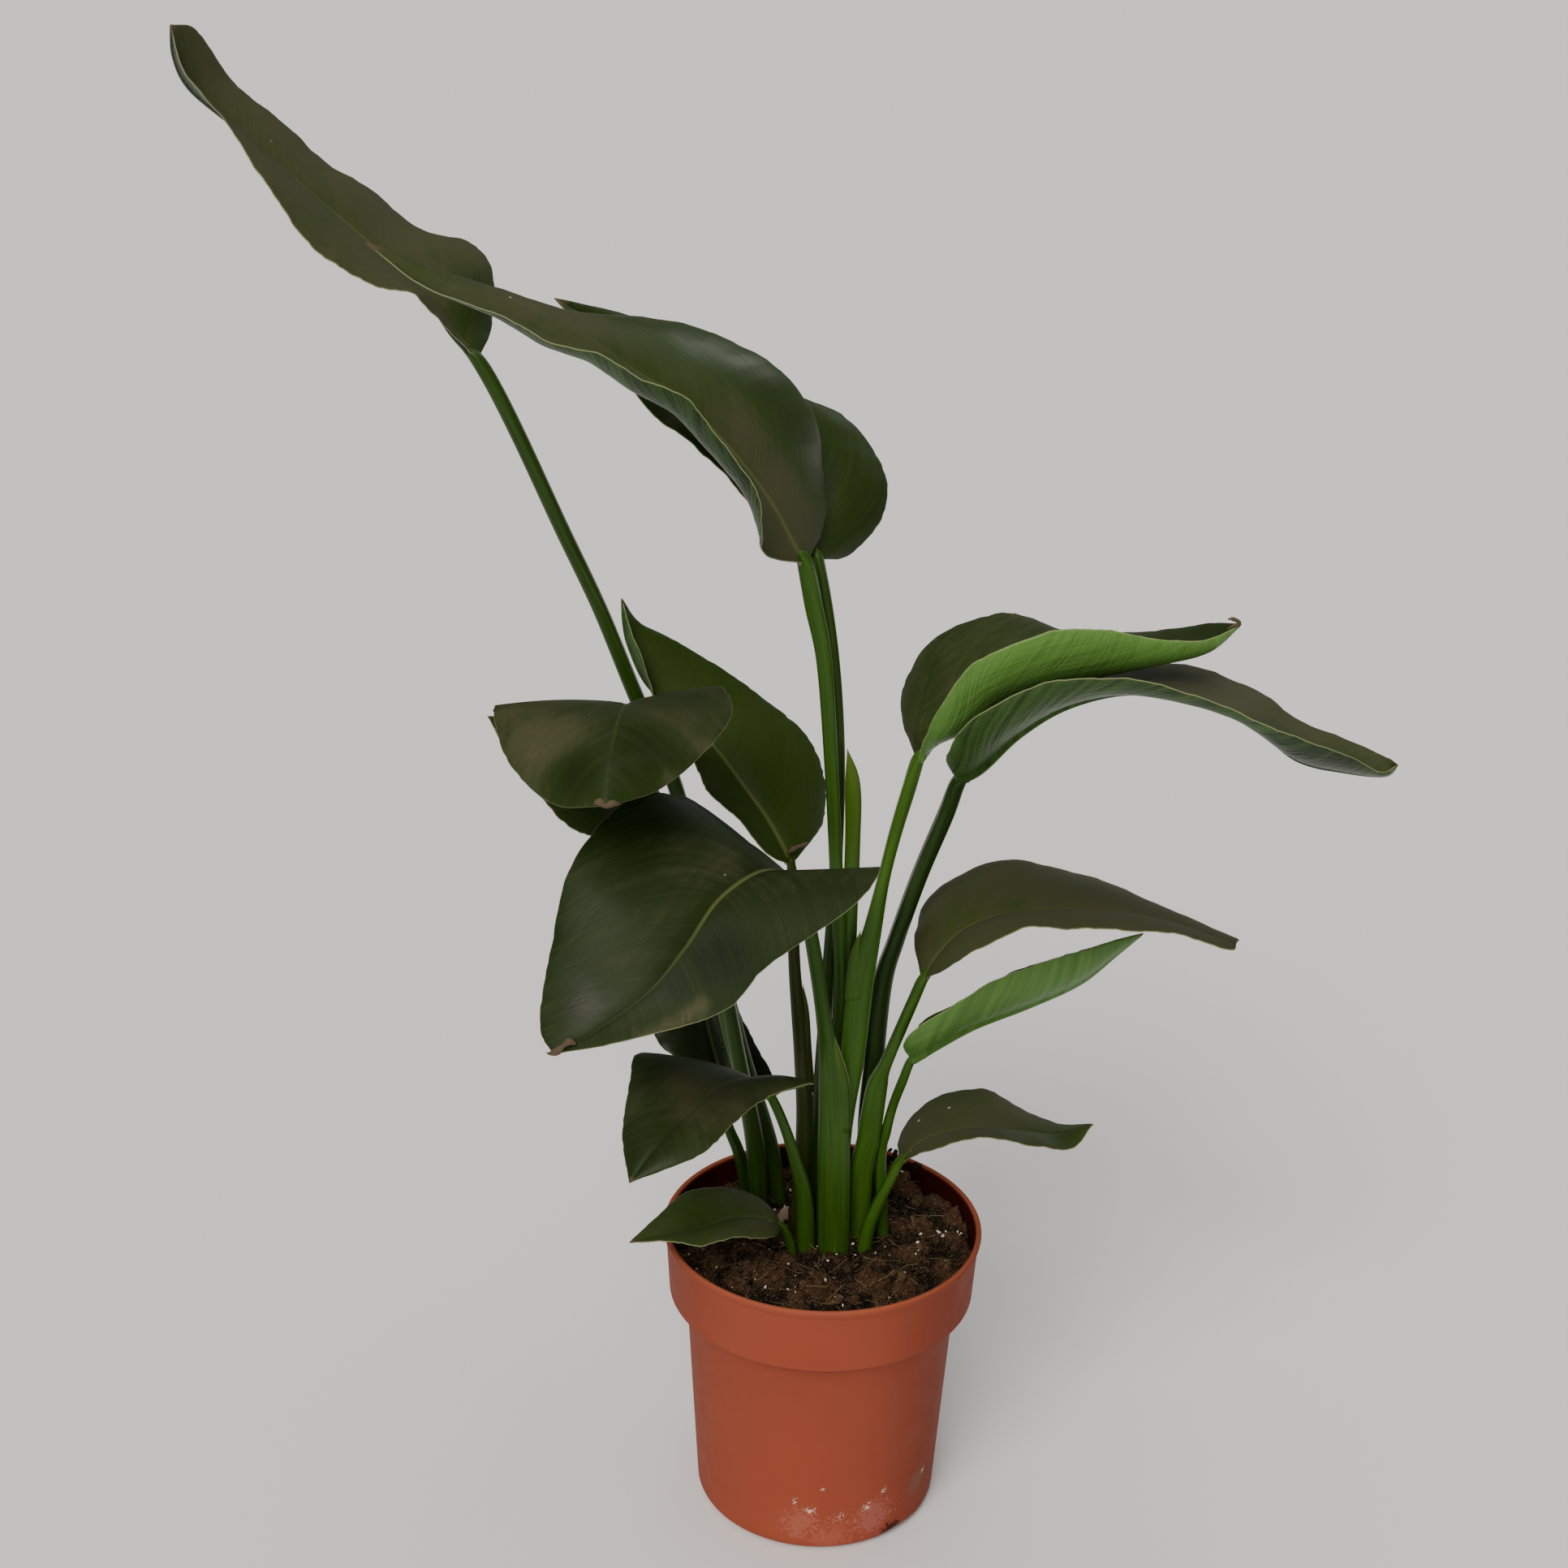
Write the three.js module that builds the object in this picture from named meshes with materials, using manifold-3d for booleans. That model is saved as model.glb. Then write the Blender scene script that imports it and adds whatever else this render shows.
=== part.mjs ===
// Potted bird of paradise: a young clump of fifteen leaves in a plastic nursery pot.
//
// Millimetres, +Z up. The origin is the centre of the pot's base, on the surface that the
// pot stands on. -Y is the front. The leaves fan out to the left (-X) and the right (+X), and
// three of them arch over towards the front.

import * as THREE from 'three';
import Module from 'manifold-3d';

const wasm = await Module();
wasm.setup();

// Pot: a thin moulding with a rolled lip and a collar that steps out from the body
const RIM_RADIUS = 85;
const POT_HEIGHT = 164;
const LIP_ROLL = 1.6;
const COLLAR_HEIGHT = 38;
const COLLAR_TOP_RADIUS = 83.6;
const COLLAR_FOOT_RADIUS = 81.6;
const COLLAR_EDGE = 1;
const SHOULDER_RADIUS = 72.6;
const BASE_RADIUS = 65.3;
const BASE_ROUNDING = 6;
const WALL = 1.6;
const FLOOR = 2;
const FOOT_DEPTH = 4.5;
const POT_SIDES = 48;
const COLLAR_FOOT = POT_HEIGHT - COLLAR_HEIGHT;
const FLOOR_TOP = FOOT_DEPTH + FLOOR;

// Drainage: round holes in the floor, and two low notches in the bottom edge
const DRAIN_COUNT = 6;
const DRAIN_RADIUS = 5;
const DRAIN_RING = 42;
const NOTCH_WIDTH = 36;
const NOTCH_HEIGHT = 4.4;
const NOTCH_DEPTH = 24;
const NOTCH_ANGLES = [-45, 135];

// Potting soil: a lumpy fill that stops below the rim. A mound is x, y, height, radius.
const SOIL_LEVEL = 149;
const SOIL_GAP = 0.6;
const SOIL_CORNER = 3;
const SOIL_RIPPLE = 0.8;
const SOIL_SIDES = 44;
const SOIL_RINGS = 12;
const SOIL_MOUNDS = [
  [0, 2, 3.5, 34], [62, 26, 7, 11], [30, -38, 4, 15], [-8, -46, 4.5, 13],
  [50, -22, 4, 14], [-38, -36, 2.5, 15], [42, 52, 4, 14], [66, -2, 3, 12],
  [-58, -6, -3, 20], [-50, 30, -3, 16], [8, -66, 2.5, 12], [-14, 60, 2, 16],
  [22, -60, 2.5, 9], [-52, -50, 2, 12], [12, 70, 3, 10], [36, 16, 2.5, 10],
];

// Blades and stalks. The columns run across a blade: -1 and 1 are its margins, 0 its midrib.
const BLADE_THICKNESS = 1;
const RIB_DEPTH = 2.4;
const RIB_SHARE = 0.09;
const COLUMNS = [-1, -0.5, -RIB_SHARE, 0, RIB_SHARE, 0.5, 1];
const MIDDLE = (COLUMNS.length - 1) / 2;
const ROWS_PER_STATION = 2;
const STALK_SIDES = 10;
const STALK_RINGS_PER_POINT = 2;
const GROOVE_DEPTH = 0.3;
const GROOVE_WIDTH = 0.6;
const JOIN_SIZES = [0.9, 0.45];
const JOIN_DEPTH = 1.2;
const HOLE_CLEARANCE = 1.2;

// The leaves, each with its route chosen point by point.
//   inward  the horizontal direction, x and y, that the stalk's groove faces
//   stalk   points up the middle of the stalk: x, y, z, width along X, depth along Y
//   sheath  the same for the pointed wing that clasps the stalk, on the leaves that show one
//   base    where the blade starts
//   rows    across the blade, base to tip: midrib, left margin, right margin
//   bow     how far each half swells towards the upper face, as a share of its width
//   tone    which of the leaf colours it has, where it isn't the common one
const LEAVES = {
  // The tallest, reaching up and left on a long bare stalk, seen from the front and below
  tall_left: {
    inward: [1, 0],
    stalk: [
      [-33, 36, 130, 12, 10], [-36, 36, 185, 12, 10], [-46, 37, 239, 9.5, 9],
      [-60, 38, 310, 9, 8.5], [-81, 40, 396, 9, 8], [-102, 42, 446, 9, 8],
      [-120, 44, 491, 8.5, 8], [-139, 46, 532, 8.5, 8], [-157, 48, 572, 8.5, 8],
      [-170, 49, 599, 8.5, 8],
    ],
    base: [-179, 50, 614],
    rows: [
      [[-191, 54, 627], [-194, 36, 633], [-175, 80, 626]],
      [[-202, 57, 642], [-205, 28, 649], [-178, 104, 647]],
      [[-217, 59, 655], [-218, 22, 652], [-190, 112, 660]],
      [[-231, 60, 667], [-232, 19, 659], [-215, 110, 666]],
      [[-246, 60, 680], [-248, 18, 669], [-238, 104, 687]],
      [[-262, 59, 694], [-262, 20, 686], [-255, 98, 697]],
      [[-278, 58, 708], [-274, 24, 703], [-268, 90, 712]],
      [[-293, 56, 722], [-288, 34, 721], [-283, 84, 726]],
      [[-310, 50, 738], [-301, 32, 739], [-298, 78, 741]],
      [[-316, 48, 752], [-310, 36, 749], [-309, 66, 763]],
    ],
    tip: [-317, 48, 767],
    bow: [0.06, 0.06],
  },
  // Arches far to the left; its near half rolls up like a gutter and hides the midrib
  arching_front: {
    inward: [1, 0],
    stalk: [
      [2, 15, 130, 12, 8], [3, 15, 208, 11, 8], [7, 15, 290, 9.5, 8], [2, 12, 365, 8, 8],
      [-2, 8, 421, 8, 7.5], [-8, 4, 481, 7.5, 7], [-15, 1, 508, 8, 7],
    ],
    sheath: [
      [11, 15, 271, 9, 7], [10, 14, 328, 9, 7], [10, 12, 379, 9, 6.5], [9, 11, 412, 9, 5],
      [5, 11, 432, 0, 0],
    ],
    base: [-18, 0, 530],
    rows: [
      [[-25, -4, 544], [-36, -26, 541], [-11, 20, 538]],
      [[-33, -9, 560], [-39, -42, 561], [-9, 35, 550]],
      [[-45, -14, 578], [-42, -52, 581], [-11, 46, 569]],
      [[-60, -20, 597], [-59, -62, 606], [-17, 54, 593]],
      [[-77, -26, 615], [-71, -70, 624], [-37, 56, 614]],
      [[-96, -32, 628], [-91, -74, 634], [-64, 50, 629]],
      [[-116, -38, 643], [-111, -76, 645], [-95, 36, 639]],
      [[-137, -43, 653], [-133, -75, 650], [-125, 10, 645]],
      [[-158, -47, 663], [-154, -70, 660], [-151, -16, 658]],
      [[-186, -51, 674], [-186, -62, 669], [-182, -34, 671]],
    ],
    tip: [-214, -53, 687],
    bow: [-0.18, 0.04],
  },
  // Close behind it, with the right lobe in view and only the tip showing above
  arching_back: {
    inward: [1, 0],
    stalk: [
      [-4, 25, 130, 10, 8], [-3, 25, 212, 9, 8], [0, 24, 300, 8, 8], [2, 22, 360, 7.5, 7.5],
      [2, 20, 417, 7, 7], [-2, 18, 460, 6.5, 6.5], [-8, 16, 497, 6, 6],
    ],
    base: [-12, 14, 528],
    rows: [
      [[-14, 27, 534], [-25, 10, 533], [4, 40, 523]],
      [[-20, 48, 548], [-42, 20, 549], [21, 62, 538]],
      [[-35, 64, 566], [-59, 24, 567], [20, 86, 557]],
      [[-58, 72, 584], [-75, 30, 580], [-1, 104, 578]],
      [[-85, 76, 603], [-95, 38, 593], [-39, 108, 591]],
      [[-113, 74, 622], [-116, 48, 616], [-99, 94, 625]],
    ],
    tip: [-143, 60, 643],
    bow: [0.1, 0.12],
  },
  // Points up and left; towards the tip its left half folds in to a narrow strip
  upper_mid: {
    inward: [0.6, 0.8],
    stalk: [
      [-14, 9, 130, 9, 7], [-11, 9, 211, 9, 7], [-13, 9, 255, 8.5, 7], [-18, 10, 306, 6.5, 6],
      [-20, 11, 343, 6, 6],
    ],
    sheath: [
      [-9, 9, 235, 7, 6], [-11, 9, 264, 5.5, 4.5], [-12, 9, 286, 3.5, 3], [-14, 9, 302, 0, 0],
    ],
    base: [-21, 12, 367],
    rows: [
      [[-25, 14, 375], [-34, 3, 377], [-12, 26, 374]],
      [[-34, 20, 389], [-50, 6, 395], [-5, 40, 380]],
      [[-47, 26, 405], [-65, 10, 408], [-5, 52, 398]],
      [[-61, 31, 422], [-73, 17, 422], [-13, 60, 417]],
      [[-78, 36, 438], [-87, 24, 436], [-33, 62, 435]],
      [[-96, 38, 454], [-93, 28, 454], [-55, 60, 452]],
      [[-105, 39, 472], [-100, 29, 475], [-82, 54, 471]],
      [[-108, 40, 484], [-104, 33, 484], [-101, 48, 483]],
    ],
    tip: [-109, 40, 498],
    bow: [-0.06, 0.08],
  },
  // Arches towards the front, so that its outer half hangs down like a half moon
  half_moon: {
    inward: [0, 1],
    stalk: [
      [-29, 54, 130, 9, 8], [-32, 57, 177, 9, 8], [-48, 60, 226, 8, 7.5], [-61, 60, 280, 8, 7],
      [-75, 58, 336, 7.5, 7], [-93, 52, 385, 7.5, 7],
    ],
    base: [-104, 42, 415],
    rows: [
      [[-104, 8, 445], [-73, 6, 444], [-134, 12, 437]],
      [[-102, -28, 467], [-58, -14, 471], [-163, -18, 461]],
      [[-103, -66, 474], [-51, -44, 469], [-164, -40, 460]],
      [[-105, -94, 466], [-63, -76, 461], [-153, -70, 450]],
      [[-106, -107, 456], [-83, -98, 451], [-131, -98, 443]],
    ],
    tip: [-106, -114, 449],
    bow: [0.03, 0.03],
  },
  // Mostly hidden behind the half moon, with the tip out to the left
  behind_half_moon: {
    inward: [0, 1],
    stalk: [
      [-22, 43, 130, 9, 7], [-28, 46, 179, 9, 7.5], [-43, 49, 232, 7.5, 7],
      [-57, 49, 286, 7, 6.5], [-74, 45, 340, 6.5, 6.5],
    ],
    base: [-92, 38, 380],
    rows: [
      [[-107, 24, 394], [-113, 2, 385], [-106, 40, 400]],
      [[-126, 12, 410], [-130, -12, 394], [-127, 36, 419]],
      [[-145, 6, 426], [-150, -12, 416], [-146, 28, 432]],
      [[-160, 0, 440], [-163, -10, 435], [-161, 16, 441]],
    ],
    tip: [-172, -4, 450],
    bow: [0.1, 0.1],
  },
  // The broadest: rises at the midrib, then hangs down and left over the front
  big_front: {
    inward: [0, 1],
    stalk: [
      [5.5, -6, 130, 15, 9.5], [4, -6, 200, 16, 9.5], [3, -6, 244, 15, 9], [-2, -6, 284, 8.5, 8],
      [-9, -6, 328, 7.5, 7.5], [-14, -5, 351, 7, 7],
    ],
    sheath: [[8, -6, 220, 11, 8], [7, -6, 249, 10, 6.5], [4, -7, 269, 6, 5], [1, -7, 284, 0, 0]],
    base: [-17, -2, 362],
    rows: [
      [[-27, -28, 381], [6, -22, 372], [-49, -12, 393]],
      [[-39, -54, 391], [22, -44, 391], [-76, -28, 420]],
      [[-56, -82, 389], [7, -80, 386], [-102, -48, 424]],
      [[-70, -104, 375], [-31, -106, 368], [-125, -78, 404]],
      [[-86, -120, 360], [-51, -128, 355], [-133, -104, 370]],
      [[-109, -130, 345], [-94, -138, 344], [-136, -124, 344]],
    ],
    tip: [-129, -134, 334],
    bow: [0, 0.05],
  },
  // Held upright behind the clump, in the shade of the broad leaf
  low_back_left: {
    inward: [0.6, -0.8],
    stalk: [[-38, 47, 130, 8, 6], [-45, 51, 170, 7, 6], [-52, 58, 186, 6, 6]],
    base: [-56, 66, 196],
    rows: [
      [[-59, 80, 211], [-78, 72, 218], [-28, 77, 202]],
      [[-66, 92, 233], [-94, 80, 229], [-39, 90, 223]],
      [[-72, 103, 256], [-98, 94, 250], [-51, 104, 242]],
      [[-78, 112, 277], [-94, 106, 274], [-60, 114, 269]],
    ],
    tip: [-83, 120, 294],
    bow: [0.1, 0.1],
    tone: 'shadedLeaf',
  },
  // A small copy of the broad leaf, with a narrow curled lobe on the right
  low_front_left: {
    inward: [0, 1],
    stalk: [
      [-8, -6, 130, 10.5, 8], [-10, -7, 181, 9, 7.5], [-16, -8, 208, 6.5, 6.5],
      [-22, -9, 228, 5.5, 5.5],
    ],
    base: [-29, -10, 245],
    rows: [
      [[-39, -30, 266], [-7, -36, 268], [-61, -14, 263]],
      [[-54, -54, 275], [-31, -58, 271], [-95, -36, 283]],
      [[-68, -76, 273], [-47, -82, 269], [-99, -62, 280]],
      [[-81, -92, 266], [-63, -100, 262], [-101, -84, 263]],
    ],
    tip: [-96, -108, 251],
    bow: [0.08, 0.08],
  },
  // A small leaf that lies out over the rim of the pot
  lowest_left: {
    inward: [1, 0],
    stalk: [[-17, -12, 130, 6, 5], [-16, -12, 154, 6, 5]],
    base: [-21, -13, 168],
    rows: [
      [[-28, -16, 175], [-27, -34, 175], [-32, 2, 175]],
      [[-45, -24, 181], [-45, -46, 182], [-51, -2, 185]],
      [[-62, -34, 181], [-62, -54, 182], [-71, -14, 190]],
      [[-78, -44, 182], [-78, -56, 185], [-85, -30, 186]],
    ],
    tip: [-100, -54, 183],
    bow: [0.1, 0.1],
  },
  // Folded along the midrib, so that the near half shows its bright underside
  folded_right: {
    inward: [-1, 0],
    stalk: [
      [5, 5.5, 130, 12, 8], [8, 5, 214, 12, 8], [12, 5, 262, 15, 8], [15, 5, 305, 15.5, 8],
      [20, 5, 333, 11, 8], [25, 6, 362, 7.5, 7.5], [30, 7, 387, 7.5, 7.5], [36, 7, 412, 8, 7.5],
    ],
    sheath: [[12, 4, 294, 12, 8], [12, 4, 313, 9, 6.5], [13, 4, 325, 5, 4], [15, 4, 335, 0, 0]],
    base: [40, 8, 427],
    rows: [
      [[47, 4, 440], [34, 24, 437], [43, -16, 451]],
      [[61, 0, 448], [33, 42, 452], [49, -26, 471]],
      [[79, -4, 465], [47, 52, 475], [64, -32, 494]],
      [[102, -8, 475], [82, 52, 491], [94, -34, 509]],
      [[129, -10, 482], [113, 44, 485], [118, -34, 512]],
      [[155, -12, 489], [149, 28, 490], [143, -30, 507]],
      [[176, -12, 496], [177, 8, 502], [171, -24, 504]],
    ],
    tip: [191, -10, 508],
    bow: [0.08, -0.14],
  },
  // Arches far to the right, keel down, and ends in a hanging lobe
  arched_right: {
    inward: [-1, 0],
    stalk: [
      [24, 18, 130, 11, 9], [22, 18, 207, 12, 9], [24, 17, 251, 12, 9], [27, 15, 299, 11.5, 9],
      [33, 12, 326, 10, 9], [43, 4, 366, 9.5, 9], [54, -6, 404, 9.5, 9],
    ],
    base: [59, -14, 425],
    rows: [
      [[70, -18, 435], [68, 12, 440], [51, -38, 448]],
      [[86, -24, 455], [91, 34, 452], [60, -58, 473]],
      [[107, -30, 472], [118, 42, 458], [86, -68, 494]],
      [[134, -36, 482], [149, 36, 471], [117, -72, 501]],
      [[162, -41, 481], [178, 26, 473], [148, -74, 498]],
      [[190, -45, 474], [205, 12, 467], [179, -74, 487]],
      [[215, -49, 455], [227, -6, 457], [208, -74, 475]],
      [[239, -52, 450], [251, -28, 454], [232, -70, 466]],
      [[257, -53, 449], [261, -42, 453], [252, -62, 454]],
    ],
    tip: [262, -54, 455],
    bow: [0, -0.1],
  },
  // Nearly level, with the upper face in view and a blunt tip
  mid_right: {
    inward: [-1, 0],
    stalk: [
      [20, 6, 130, 13, 8], [19, 5, 189, 14, 8], [22, 4, 212, 14, 8], [24, 2, 233, 13.5, 8],
      [26, 0, 249, 12, 7.5], [30, -3, 263, 7.5, 7], [42, -11, 303, 6.5, 6.5],
    ],
    base: [46, -14, 316],
    rows: [
      [[53, -18, 333], [43, 10, 333], [59, -40, 338]],
      [[66, -24, 351], [53, 28, 346], [72, -62, 359]],
      [[87, -31, 363], [83, 36, 361], [91, -72, 374]],
      [[112, -37, 368], [115, 32, 360], [112, -76, 376]],
      [[139, -42, 370], [144, 20, 356], [139, -74, 375]],
      [[167, -46, 366], [170, -6, 354], [167, -66, 369]],
      [[191, -48, 358], [196, -32, 355], [188, -60, 359]],
    ],
    tip: [197, -50, 359],
    bow: [0.05, 0.04],
  },
  // The youngest, still folded to a spear that shows only its underside
  spear_right: {
    inward: [-1, 0],
    stalk: [
      [34, 8, 130, 8, 6.5], [30, 9, 196, 6.5, 6], [32, 6, 217, 6, 6], [35, 5, 233, 5.5, 5.5],
      [39, 0, 250, 5.5, 5.5],
    ],
    base: [43, -4, 265],
    rows: [
      [[54, -7, 275], [47, 8, 280], [39, -18, 285]],
      [[74, -11, 290], [70, 14, 291], [64, -26, 311]],
      [[100, -15, 304], [96, 14, 309], [88, -30, 329]],
      [[125, -18, 319], [119, 8, 321], [113, -30, 339]],
      [[142, -20, 336], [140, -4, 335], [137, -26, 346]],
    ],
    tip: [155, -21, 349],
    bow: [-0.1, -0.16],
    tone: 'youngLeaf',
  },
  // The small leaf low on the right, with a kicked-up tip
  low_right: {
    inward: [-1, 0],
    stalk: [
      [21, -4, 130, 9, 6.5], [23, -3, 157, 8.5, 6.5], [28, -2, 175, 7, 6.5], [35, -1, 192, 6, 6],
    ],
    base: [39, 0, 201],
    rows: [
      [[49, -4, 217], [41, 18, 209], [55, -20, 221]],
      [[64, -8, 226], [58, 30, 224], [71, -34, 236]],
      [[82, -12, 231], [84, 30, 230], [89, -40, 240]],
      [[103, -15, 231], [104, 20, 225], [109, -40, 236]],
      [[121, -17, 231], [122, 2, 226], [126, -32, 231]],
    ],
    tip: [138, -18, 238],
    bow: [0.02, 0.04],
  },
};

// A papery remnant of an old leaf base, standing in the soil: x, y, z, width, depth
const DRY_BASE = [
  [-21, 22, 138, 8, 2.6], [-21, 22, 150, 8, 2.6], [-20, 21, 157, 5, 1.8], [-18, 20, 161, 0, 0],
];

const COLOURS = {
  pot: 0xb5704f,
  soil: 0x3b2a20,
  dryBase: 0xb9a184,
  dustyLeaf: 0x4d5a3a,
  shadedLeaf: 0x3f5230,
  youngLeaf: 0x5f7d34,
};

// Three.js and manifold

// A solid from a geometry, with the corners that share a place made one
function solidFromGeometry(geometry) {
  const position = geometry.getAttribute('position');
  const keys = new Map();
  const vertices = [];
  const merged = [];
  for (let i = 0; i < position.count; i++) {
    const point = [position.getX(i), position.getY(i), position.getZ(i)];
    const key = point.map((value) => Math.round(value * 1e4)).join();
    if (!keys.has(key)) {
      keys.set(key, vertices.length / 3);
      vertices.push(...point);
    }
    merged.push(keys.get(key));
  }
  const corners = geometry.index ? Array.from(geometry.index.array) : [...merged.keys()];
  const triangles = [];
  for (let i = 0; i < corners.length; i += 3) {
    const [a, b, c] = [0, 1, 2].map((k) => merged[corners[i + k]]);
    if (a !== b && b !== c && c !== a) triangles.push(a, b, c);
  }
  return new wasm.Manifold(new wasm.Mesh({
    numProp: 3,
    vertProperties: new Float32Array(vertices),
    triVerts: new Uint32Array(triangles),
  }));
}

function geometryFromSolid(solid) {
  const mesh = solid.getMesh();
  const geometry = new THREE.BufferGeometry();
  geometry.setAttribute('position', new THREE.BufferAttribute(mesh.vertProperties, 3));
  geometry.setIndex(new THREE.BufferAttribute(mesh.triVerts, 1));
  geometry.computeVertexNormals();
  return geometry;
}

// A closed skin over rings of points, each ring anticlockwise round the way the rings run.
// A ring of one point closes an end to a tip. Past the column mirrorFrom the diagonals turn
// over, so that both faces of a thin blade are split into the same triangles.
function skin(rings, mirrorFrom = Infinity) {
  const starts = [];
  let count = 0;
  for (const ring of rings) {
    starts.push(count);
    count += ring.length;
  }
  const triangles = [];
  for (let i = 0; i + 1 < rings.length; i++) {
    const [low, high] = [rings[i].length, rings[i + 1].length];
    const sides = Math.max(low, high);
    for (let k = 0; k < sides; k++) {
      const next = (k + 1) % sides;
      const [a, b] = [starts[i] + (k % low), starts[i] + (next % low)];
      const [d, c] = [starts[i + 1] + (k % high), starts[i + 1] + (next % high)];
      if (low === 1) triangles.push(a, c, d);
      else if (high === 1) triangles.push(a, b, c);
      else if (k >= mirrorFrom) triangles.push(a, b, d, b, c, d);
      else triangles.push(a, b, c, a, c, d);
    }
  }
  const places = rings.flat().flatMap((point) => point.toArray());
  const geometry = new THREE.BufferGeometry();
  geometry.setAttribute('position', new THREE.Float32BufferAttribute(places, 3));
  geometry.setIndex(triangles);
  return geometry;
}

function centreOf(ring) {
  const centre = new THREE.Vector3();
  for (const point of ring) centre.add(point);
  return centre.divideScalar(ring.length);
}

function smoothCurve(points) {
  return new THREE.CatmullRomCurve3(points, false, 'catmullrom', 0.5);
}

// Points of a quarter or half turn, in radius and height
function arc(r, z, radius, from, to, steps) {
  return Array.from({ length: steps + 1 }, (_, k) => {
    const angle = THREE.MathUtils.degToRad(from + ((to - from) * k) / steps);
    return [r + radius * Math.cos(angle), z + radius * Math.sin(angle)];
  });
}

// Pot

// Inner face of the pot's wall at a height, above and below the step of the collar
function innerRadius(z) {
  const { lerp } = THREE.MathUtils;
  if (z < COLLAR_FOOT) return lerp(BASE_RADIUS, SHOULDER_RADIUS, z / COLLAR_FOOT) - WALL;
  return lerp(COLLAR_FOOT_RADIUS - WALL, RIM_RADIUS - 2 * LIP_ROLL, (z - COLLAR_FOOT) / COLLAR_HEIGHT);
}

function potProfile() {
  const footRadius = BASE_RADIUS - BASE_ROUNDING;
  const underside = [[0, FOOT_DEPTH], [footRadius - WALL, FOOT_DEPTH], [footRadius - WALL, 0]];
  const collar = [
    [SHOULDER_RADIUS, COLLAR_FOOT],
    [COLLAR_FOOT_RADIUS - COLLAR_EDGE, COLLAR_FOOT],
    [COLLAR_FOOT_RADIUS, COLLAR_FOOT + COLLAR_EDGE],
    [COLLAR_TOP_RADIUS, POT_HEIGHT - 3 * LIP_ROLL],
  ];
  const insideHeights = [
    POT_HEIGHT - 3 * LIP_ROLL, COLLAR_FOOT + WALL, COLLAR_FOOT - WALL, FLOOR_TOP + FLOOR,
  ];
  const profile = [
    ...underside,
    ...arc(footRadius, BASE_ROUNDING, BASE_ROUNDING, -90, 0, 4),
    ...collar,
    ...arc(RIM_RADIUS - LIP_ROLL, POT_HEIGHT - LIP_ROLL, LIP_ROLL, 0, 180, 4),
    ...insideHeights.map((z) => [innerRadius(z), z]),
    [innerRadius(FLOOR_TOP) - FLOOR, FLOOR_TOP],
    [0, FLOOR_TOP],
  ];
  return profile.map(([r, z]) => new THREE.Vector2(r, z));
}

function makePot() {
  const lathe = new THREE.LatheGeometry(potProfile(), POT_SIDES);
  lathe.rotateX(Math.PI / 2);
  let pot = solidFromGeometry(lathe);
  for (let k = 0; k < DRAIN_COUNT; k++) {
    const angle = ((k + 0.5) / DRAIN_COUNT) * 2 * Math.PI;
    const drill = new THREE.CylinderGeometry(DRAIN_RADIUS, DRAIN_RADIUS, 3 * FLOOR, 14);
    drill.rotateX(Math.PI / 2);
    drill.translate(DRAIN_RING * Math.cos(angle), DRAIN_RING * Math.sin(angle), FLOOR_TOP - FLOOR / 2);
    pot = pot.subtract(solidFromGeometry(drill));
  }
  for (const degrees of NOTCH_ANGLES) {
    const notch = new THREE.CylinderGeometry(NOTCH_WIDTH / 2, NOTCH_WIDTH / 2, NOTCH_DEPTH, 20);
    notch.scale(1, 1, (2 * NOTCH_HEIGHT) / NOTCH_WIDTH);
    notch.translate(0, BASE_RADIUS, 0);
    notch.rotateZ(THREE.MathUtils.degToRad(degrees - 90));
    pot = pot.subtract(solidFromGeometry(notch));
  }
  return pot;
}

// Soil

function soilHeight(x, y) {
  let height = SOIL_LEVEL + SOIL_RIPPLE * Math.sin(x * 0.21 + 1) * Math.sin(y * 0.24);
  for (const [moundX, moundY, rise, radius] of SOIL_MOUNDS) {
    height += rise * Math.exp(-((x - moundX) ** 2 + (y - moundY) ** 2) / radius ** 2);
  }
  return height;
}

function ringAt(radius, heightAt) {
  return Array.from({ length: SOIL_SIDES }, (_, k) => {
    const angle = (k / SOIL_SIDES) * 2 * Math.PI;
    const [x, y] = [radius * Math.cos(angle), radius * Math.sin(angle)];
    return new THREE.Vector3(x, y, heightAt(x, y));
  });
}

function makeSoil() {
  const low = FLOOR_TOP + SOIL_GAP;
  const step = COLLAR_FOOT + WALL + SOIL_GAP;
  const outer = innerRadius(SOIL_LEVEL) - SOIL_GAP;
  const rings = [
    [new THREE.Vector3(0, 0, low)],
    ringAt(innerRadius(low) - SOIL_CORNER, () => low),
    ringAt(innerRadius(low + SOIL_CORNER) - SOIL_GAP, () => low + SOIL_CORNER),
    ringAt(innerRadius(COLLAR_FOOT - WALL) - SOIL_GAP, () => step),
    ringAt(innerRadius(step) - SOIL_GAP, () => step),
  ];
  for (let k = SOIL_RINGS; k > 0; k--) rings.push(ringAt((outer * k) / SOIL_RINGS, soilHeight));
  rings.push([new THREE.Vector3(0, 0, soilHeight(0, 0))]);
  return solidFromGeometry(skin(rings));
}

// Stalks

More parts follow.
